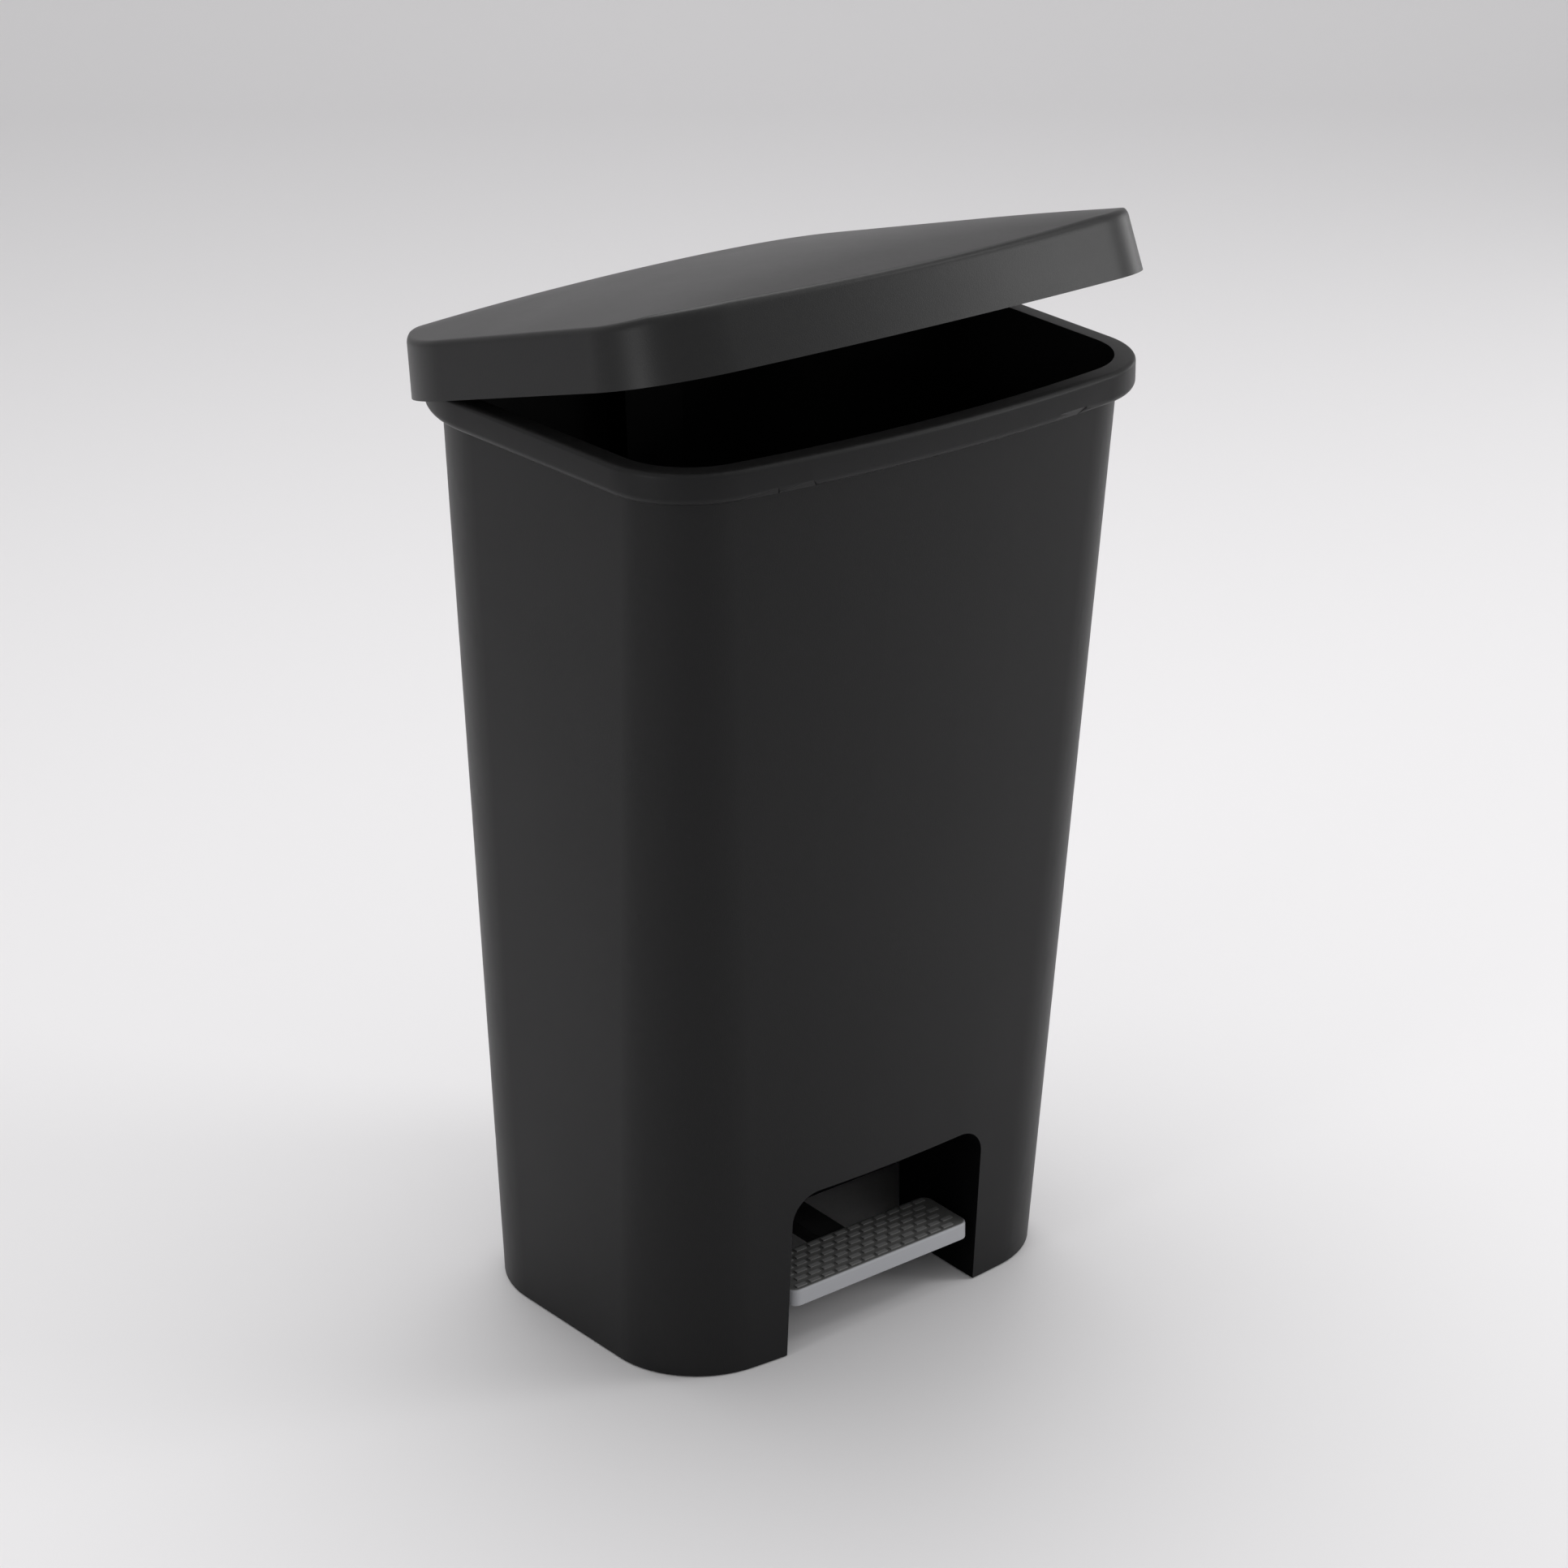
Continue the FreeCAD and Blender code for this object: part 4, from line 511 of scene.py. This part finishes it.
@dataclass
class MeshStack:
    """Collects surfaces that together make one piece.

    Attributes:
        points: arrays of points.
        faces: corner numbers of each face.
        count: number of points so far.
        merge: corners closer than this are made one, in metres.
        crease: edges sharper than this are shown sharp, in degrees.
    """

    points: list[np.ndarray] = field(default_factory=list)
    faces: list[list[int]] = field(default_factory=list)
    count: int = 0
    merge: float = 1e-6
    crease: float = 40.0

    def grid(self, points: np.ndarray, ring: bool = True) -> None:
        """Add a grid of points, each joined with its neighbours both ways.

        Args:
            points: rows by columns by 3.
            ring: whether each row closes on itself.
        """
        rows, columns = points.shape[:2]
        index = self.count + np.arange(rows * columns).reshape(rows, columns)
        if ring:
            index = np.concatenate([index, index[:, :1]], axis=1)
        quads = np.stack([index[:-1, :-1], index[:-1, 1:], index[1:, 1:], index[1:, :-1]], axis=-1)
        self.faces += quads.reshape(-1, 4).tolist()
        self.points.append(points.reshape(-1, 3))
        self.count += rows * columns

    def revolved(self, profile: np.ndarray, centre: np.ndarray, axis: int,
                 steps: int = 48) -> None:
        """Add a profile turned about a line along one axis.

        Each point of the profile becomes a circle: its distance along the axis
        stays, and its radius is shared out by the cosine and sine of the angle.

        Args:
            profile: rows of distance along the axis and radius.
            centre: a point on the axis.
            axis: 0 for X, 2 for Z.
            steps: points round the axis.
        """
        angle = np.linspace(0.0, 2.0 * math.pi, steps, endpoint=False)
        along = np.repeat(profile[:, :1], steps, axis=1)
        first = profile[:, 1:] * np.cos(angle)
        second = profile[:, 1:] * np.sin(angle)
        order = (along, first, second) if axis == 0 else (first, second, along)
        self.grid(np.stack(order, axis=-1) + centre)

    def prism(self, outline: np.ndarray, x_low: float, x_high: float) -> None:
        """Add an outline in Y and Z, run along X.

        Args:
            outline: corners as n by 2, anticlockwise seen from the right.
            x_low: left end.
            x_high: right end.
        """
        count = len(outline)
        ends = [np.column_stack([np.full(count, x), outline]) for x in (x_high, x_low)]
        base = self.count
        self.grid(np.stack(ends))
        self.faces.append(list(range(base, base + count)))
        self.faces.append(list(range(base + 2 * count - 1, base + count - 1, -1)))

    def build(self, name: str, turn: np.ndarray | None = None, pivot: np.ndarray | None = None,
              shift: np.ndarray | None = None) -> bpy.types.Object:
        """Make the object.

        Args:
            name: object name.
            turn: rotation matrix, or None to leave the points where they are.
            pivot: centre of the rotation.
            shift: move after the rotation.

        Returns:
            The object, linked to the scene.
        """
        points = np.concatenate(self.points)
        if turn is not None:
            points = (points - pivot) @ turn.T + pivot + shift
        mesh = bpy.data.meshes.new(name)
        mesh.from_pydata(points, [], self.faces)
        work = bmesh.new()
        work.from_mesh(mesh)
        bmesh.ops.remove_doubles(work, verts=work.verts, dist=self.merge)
        work.to_mesh(mesh)
        work.free()
        mesh.polygons.foreach_set("use_smooth", np.ones(len(mesh.polygons), dtype=bool))
        mesh.set_sharp_from_angle(angle=math.radians(self.crease))
        piece = bpy.data.objects.new(name, mesh)
        bpy.context.scene.collection.objects.link(piece)
        return piece


@dataclass
class LidShell:
    """The moulded lid: a drafted skirt under a gently ridged dome.

    Attributes:
        plan: plan of the can at rim height.
        out: lid outside the plan at its lower edge.
        reach: extra room at the front.
        draft: skirt narrows by this towards the top.
        low: height of the lower edge of the shut lid.
        top: height of the top of the skirt.
        wall: wall thickness.
        crown: rise of the dome, left to right.
        arch: rise of the dome, front to back.
        edge: round of the top edge.
        soft: how widely the two arches melt together.
        soft_share: the melt is at most this many times the height.
        rings: rings up the skirt, round the edge and over the dome.
        gather: above 1, the dome's rings lie closer together near its edge.
        hinge: hinge axis, y and z.
        knuckle: hinge side, half width, radius and bore.
        knuckle_round: bevel of the knuckle's ends.
        gusset: outline of the gusset, from the inner face of the back and the hinge height.
        seat: buffer seat side, y, lower height and radius.
        seat_tall: height of the buffer seat.
        angle: opening at rest, in degrees.
        shift: model set back from its drawing.
    """

    plan: Plan = field(default_factory=Plan)
    out: float = 0.0149
    reach: float = 0.009
    draft: float = 0.0034
    low: float = 0.571
    top: float = 0.6045
    wall: float = 0.0025
    crown: float = 0.016
    arch: float = 0.021
    edge: float = 0.0030
    soft: float = 0.007
    soft_share: float = 1.6
    rings: tuple[int, int, int] = (14, 6, 90)
    gather: float = 1.15
    hinge: tuple[float, float] = (0.1445, 0.563)
    knuckle: tuple[float, float, float, float] = (0.080, 0.010, 0.0065, 0.00255)
    knuckle_round: float = 0.0006
    gusset: tuple[tuple[float, float], ...] = (
        (0.0, 0.003), (0.0045, 0.003), (0.0055, 0.006), (0.0055, 0.018), (0.003, 0.022),
        (0.0, 0.022))
    seat: tuple[float, float, float, float] = (0.070, -0.154, 0.6033, 0.0055)
    seat_tall: float = 0.0062
    angle: float = 15.5
    shift: float = 0.008

    def dome(self, x: np.ndarray, y: np.ndarray) -> np.ndarray:
        """Height of the dome over the top of the skirt.

        Two arches cross, one left to right and one front to back, each an arc of
        radius (half squared + rise squared) / (2 * rise). The lower of them counts,
        less near squared / (4 * melt), where near is how much their difference falls
        short of the melt; that takes the crease between them away.

        Args:
            x: across.
            y: front to back.

        Returns:
            Heights in metres.
        """
        front = self.plan.front - self.out - self.reach
        back = self.plan.back + self.out
        halves = ((self.plan.back_width + self.plan.front_width) / 4 + self.out,
                  (back - front) / 2)
        rises = []
        for at, half, rise in ((x, halves[0], self.crown),
                               (y - (front + back) / 2, halves[1], self.arch)):
            radius = (half ** 2 + rise ** 2) / (2 * rise)
            rises.append(rise - radius + np.sqrt(radius ** 2 - at ** 2))
        lower = np.maximum(np.minimum(*rises), 0.0)
        melt = np.minimum(self.soft, self.soft_share * lower + 1e-6)
        near = np.maximum(melt - np.abs(rises[0] - rises[1]), 0.0)
        return lower - near ** 2 / (4 * melt)

    def skin(self, inset: float) -> np.ndarray:
        """Rings of one face of the wall, from the lower edge to the middle of the top.

        The skirt's rings draw in evenly with their height, those of the edge follow
        a quarter circle, and those of the dome shrink towards the middle of the plan.

        Args:
            inset: how far the face lies inside the outer face.

        Returns:
            Rings by points by 3.
        """
        rings = []
        slope = self.draft / (self.top - self.low)
        bend = self.edge
        up_skirt, round_edge, over_dome = self.rings
        for share in np.linspace(0.0, 1.0, up_skirt):
            height = self.low + share * (self.top - inset - bend - self.low)
            out = self.out - inset - slope * (height - self.low)
            flat = self.plan.ring(out, self.reach)
            rings.append(np.column_stack([flat, np.full(len(flat), height)]))
        for turn in np.linspace(0.0, math.pi / 2, round_edge)[1:]:
            flat = self.plan.ring(out - bend * (1 - math.cos(turn)), self.reach)
            lift = self.dome(flat[:, 0], flat[:, 1]) * math.sin(turn)
            rings.append(np.column_stack([flat, height + bend * math.sin(turn) + lift]))
        middle = np.array([0.0, (self.plan.back + self.plan.front - self.reach) / 2])
        rim = flat
        for share in 1 - np.linspace(0.0, 1.0, over_dome)[1:] ** self.gather:
            flat = middle + share * (rim - middle)
            lift = self.dome(flat[:, 0], flat[:, 1])
            rings.append(np.column_stack([flat, self.top - inset + lift]))
        return np.stack(rings)

    def hinge_half(self, stack: MeshStack, side: float) -> None:
        """Add one knuckle with its gusset and one buffer seat.

        Args:
            stack: where the surfaces go.
            side: 1 for the right, -1 for the left.
        """
        place, half, radius, bore = self.knuckle
        soft = self.knuckle_round
        profile = np.array([(-half, bore), (-half, radius - soft), (-half + soft, radius),
                            (half - soft, radius), (half, radius - soft), (half, bore),
                            (-half, bore)])[::-1]
        stack.revolved(profile, np.array([side * place, *self.hinge]), 0)
        inner = self.plan.back + self.out - self.wall
        gusset = np.array(self.gusset) + [inner, self.hinge[1]]
        stack.prism(gusset, side * place - half, side * place + half)
        at, y, z, radius = self.seat
        post = np.array([(0.0, 0.0), (0.0, radius), (self.seat_tall, radius),
                         (self.seat_tall, 0.0)])[::-1]
        stack.revolved(post, np.array([side * at, y, z]), 2)

    def build(self) -> bpy.types.Object:
        """Build the lid at its resting angle.

        Returns:
            The finished piece.
        """
        stack = MeshStack()
        outer, inner = self.skin(0.0), self.skin(self.wall)
        stack.grid(np.concatenate([inner[::-1], outer]))
        for side in (1.0, -1.0):
            self.hinge_half(stack, side)
        c, s = math.cos(math.radians(self.angle)), math.sin(math.radians(self.angle))
        turn = np.array([[1.0, 0.0, 0.0], [0.0, c, s], [0.0, -s, c]])
        piece = stack.build("lid_shell_piece", turn, np.array([0.0, *self.hinge]),
                            np.array([0.0, self.shift, 0.0]))
        piece.data.materials.append(SHOP.material(BLACK_LID))
        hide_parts("lid_shell")
        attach(piece, Body.LID.value)
        LOG.info("lid: %d faces", len(piece.data.polygons))
        return piece


@dataclass
class DressedPart:
    """A solid that keeps its own shape and only gets a finish.

    Attributes:
        node: the solid.
        finish: its finish.
    """

    node: str
    finish: Finish

    def build(self) -> None:
        """Put the finish on every slot of the solid."""
        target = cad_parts[self.node]
        for place in target.material_slots:
            place.material = SHOP.material(self.finish)
        LOG.info("%s dressed", self.node)


@dataclass(frozen=True)
class Lamp:
    """A soft square lamp that faces a point.

    Attributes:
        name: lamp name.
        spot: where it stands.
        size: side length in metres.
        power: power in watts.
        aim: the point it faces.
    """

    name: str
    spot: Point
    size: float
    power: float
    aim: Point

    def build(self) -> None:
        """Place the lamp, its back turned away from the point it faces."""
        data = bpy.data.lights.new(self.name, "AREA")
        data.shape = "SQUARE"
        data.size = self.size
        data.energy = self.power
        lamp = bpy.data.objects.new(self.name, data)
        back = np.array(self.spot) - np.array(self.aim)
        back = back / np.linalg.norm(back)
        right = np.cross([0.0, 0.0, 1.0], back)
        right = right / np.linalg.norm(right)
        matrix = np.eye(4)
        matrix[:3, 0], matrix[:3, 1] = right, np.cross(back, right)
        matrix[:3, 2], matrix[:3, 3] = back, self.spot
        lamp.matrix_world = Matrix(matrix.tolist())
        bpy.context.scene.collection.objects.link(lamp)


@dataclass(frozen=True)
class Sweep:
    """Pale floor that curves up into a backdrop behind the bin.

    Attributes:
        reach: how far the floor runs to the front and to each side.
        back: where the curve starts.
        bend: radius of the curve.
        tall: height of the backdrop.
        steps: points along the floor, the curve, the backdrop and across.
        colour: linear colour.
        roughness: roughness.
    """

    reach: float = 8.0
    back: float = 3.0
    bend: float = 1.2
    tall: float = 4.0
    steps: tuple[int, int, int, int] = (30, 60, 10, 12)
    colour: Colour = (0.80, 0.79, 0.80)
    roughness: float = 0.55

    def build(self, yaw: float) -> None:
        """Lay the floor, a straight run, a quarter circle and a wall, turned about Z.

        Args:
            yaw: turn in degrees.
        """
        level, curve, wall, across = self.steps
        t = np.linspace(0.0, 1.0, curve)
        y = np.concatenate([np.linspace(-self.reach, self.back, level),
                            self.back + self.bend * np.sin(t * math.pi / 2),
                            np.full(wall, self.back + self.bend)])
        z = np.concatenate([np.zeros(level), self.bend * (1 - np.cos(t * math.pi / 2)),
                            np.linspace(self.bend, self.tall, wall)])
        x = np.linspace(-self.reach, self.reach, across)
        grid = np.stack([np.repeat(x[None, :], len(y), 0), np.repeat(y[:, None], len(x), 1),
                         np.repeat(z[:, None], len(x), 1)], axis=-1)
        turn = math.radians(yaw)
        c, s = math.cos(turn), math.sin(turn)
        stack = MeshStack()
        stack.grid(grid @ np.array([[c, s, 0], [-s, c, 0], [0, 0, 1]]), ring=False)
        floor = stack.build("floor")
        material = bpy.data.materials.new("pale_floor")
        material.use_nodes = True
        shader = material.node_tree.nodes["Principled BSDF"]
        shader.inputs["Base Color"].default_value = (*self.colour, 1.0)
        shader.inputs["Roughness"].default_value = self.roughness
        floor.data.materials.append(material)


@dataclass
class Studio:
    """Floor, backdrop, lights and camera.

    Attributes:
        height: rim height, the unit of the camera's distances, in metres.
        yaw: camera azimuth, in degrees.
        pitch: camera elevation, in degrees.
        roll: camera roll, in degrees.
        lens: focal length, in millimetres.
        sensor: width of the camera's frame, in millimetres.
        far: how far the camera sees, in metres.
        distance: camera distance, in rim heights.
        slide: in-plane offset of the view, in rim heights.
        centre: the point the camera turns about, in rim heights.
        shift: model set back from its drawing, in metres.
        room: strength of the light of the room.
        sweep: floor and backdrop.
        lamps: the lamps.
    """

    height: float = 0.6
    yaw: float = -37.541
    pitch: float = 23.531
    roll: float = -0.517
    lens: float = 91.879379
    sensor: float = 36.0
    far: float = 50.0
    distance: float = 4.1108
    slide: tuple[float, float] = (-0.0208, -0.0372144)
    centre: Point = (0.0, 0.0, 0.5)
    shift: float = 0.008
    room: float = 0.56
    sweep: Sweep = Sweep()
    lamps: tuple[Lamp, ...] = (
        Lamp("top", (0.3, 0.6, 2.8), 2.0, 42.0, (0.0, 0.0, 0.4)),
        Lamp("right_key", (2.4, -1.9, 1.2), 1.1, 21.0, (0.0, 0.0, 0.45)),
        Lamp("high_edge", (1.5, -1.1, 2.2), 0.5, 5.0, (0.0, 0.0, 0.5)),
        Lamp("right_low", (2.6, 0.3, 0.5), 0.7, 4.0, (0.0, 0.0, 0.4)),
        Lamp("left_strip", (-2.6, -0.4, 0.80), 0.45, 7.0, (0.0, 0.0, 0.6)),
    )

    def camera(self) -> None:
        """Place the camera from its angles and in-plane offset."""
        a, e, r = (math.radians(v) for v in (self.yaw, self.pitch, self.roll))
        back = np.array([math.sin(a) * math.cos(e), -math.cos(a) * math.cos(e), math.sin(e)])
        right = np.array([math.cos(a), math.sin(a), 0.0])
        up = np.cross(back, right)
        side = math.cos(r) * right + math.sin(r) * up
        top = -math.sin(r) * right + math.cos(r) * up
        spot = np.array(self.centre) - self.slide[0] * side - self.slide[1] * top
        spot = (spot + self.distance * back) * self.height + [0.0, self.shift, 0.0]
        data = bpy.data.cameras.new("camera")
        data.lens = self.lens
        data.sensor_width = self.sensor
        data.clip_end = self.far
        camera = bpy.data.objects.new("camera", data)
        matrix = np.eye(4)
        matrix[:3, 0], matrix[:3, 1], matrix[:3, 2], matrix[:3, 3] = side, top, back, spot
        camera.matrix_world = Matrix(matrix.tolist())
        bpy.context.scene.collection.objects.link(camera)
        bpy.context.scene.camera = camera

    def light(self) -> None:
        """Light the set: an even bright room and soft lamps round the bin."""
        world = bpy.data.worlds.new("room")
        world.use_nodes = True
        background = world.node_tree.nodes["Background"]
        background.inputs["Color"].default_value = (1.0, 1.0, 1.0, 1.0)
        background.inputs["Strength"].default_value = self.room
        bpy.context.scene.world = world
        for lamp in self.lamps:
            lamp.build()
        bpy.context.scene.view_settings.view_transform = "Standard"

    def build(self) -> None:
        """Build the whole set."""
        self.sweep.build(self.yaw)
        self.light()
        self.camera()


@dataclass
class TrashCan:
    """All shown pieces of the bin."""

    lid: LidShell = field(default_factory=LidShell)
    soft: list[SoftenedPart] = field(default_factory=lambda: [
        SoftenedPart("can_body", Body.BIN, BLACK_SHELL, "black_pp", 0.0010,
                     # Faces inside the pedal recess get painted shade.
                     matt_painted_shade=((-0.0755, -0.1190, 0.0), (0.0755, 0.1000, 0.1160))),
        SoftenedPart("pedal_tread", Body.PEDAL, GREY_PEDAL, "grey_pedal", 0.00025),
        SoftenedPart("pedal_lever", Body.PEDAL, BLACK_NYLON, "black_nylon", 0.0005),
        SoftenedPart("rear_channel_cover", Body.BIN, BLACK_COVER, "black_pp_cover", 0.0005),
        SoftenedPart("lid_crank", Body.LID, BLACK_NYLON, "black_nylon", 0.0004),
        SoftenedPart("rod_top_clevis", Body.ROD, BLACK_NYLON, "black_nylon", 0.0004),
        SoftenedPart("rod_bottom_clevis", Body.ROD, BLACK_NYLON, "black_nylon", 0.0004),
        SoftenedPart("pivot_bracket", Body.BIN, BLACK_NYLON, "black_nylon", 0.0004),
    ])
    plain: list[DressedPart] = field(default_factory=lambda: [
        DressedPart("anti_slip_feet", RUBBER),
        DressedPart("lid_buffers", RUBBER),
        DressedPart("rod_guide_lower", BLACK_NYLON),
        DressedPart("rod_guide_upper", BLACK_NYLON),
        DressedPart("lever_bush", WHITE_ACETAL),
        DressedPart("push_rod", WIRE),
        *(DressedPart(name, ZINC) for name in (
            "bracket_screws", "cover_screws", "crank_screws", "tread_screws", "pivot_pin",
            "pivot_pin_clip", "hinge_pin_right", "hinge_pin_left", "hinge_pin_caps",
            "rod_top_pin", "rod_bottom_pin")),
    ])

    def build(self) -> None:
        """Build every piece."""
        for part in (self.lid, *self.soft, *self.plain):
            part.build()


def main() -> None:
    """Build the bin and the set around it."""
    TrashCan().build()
    Studio().build()


if __name__ == "__main__":
    main()
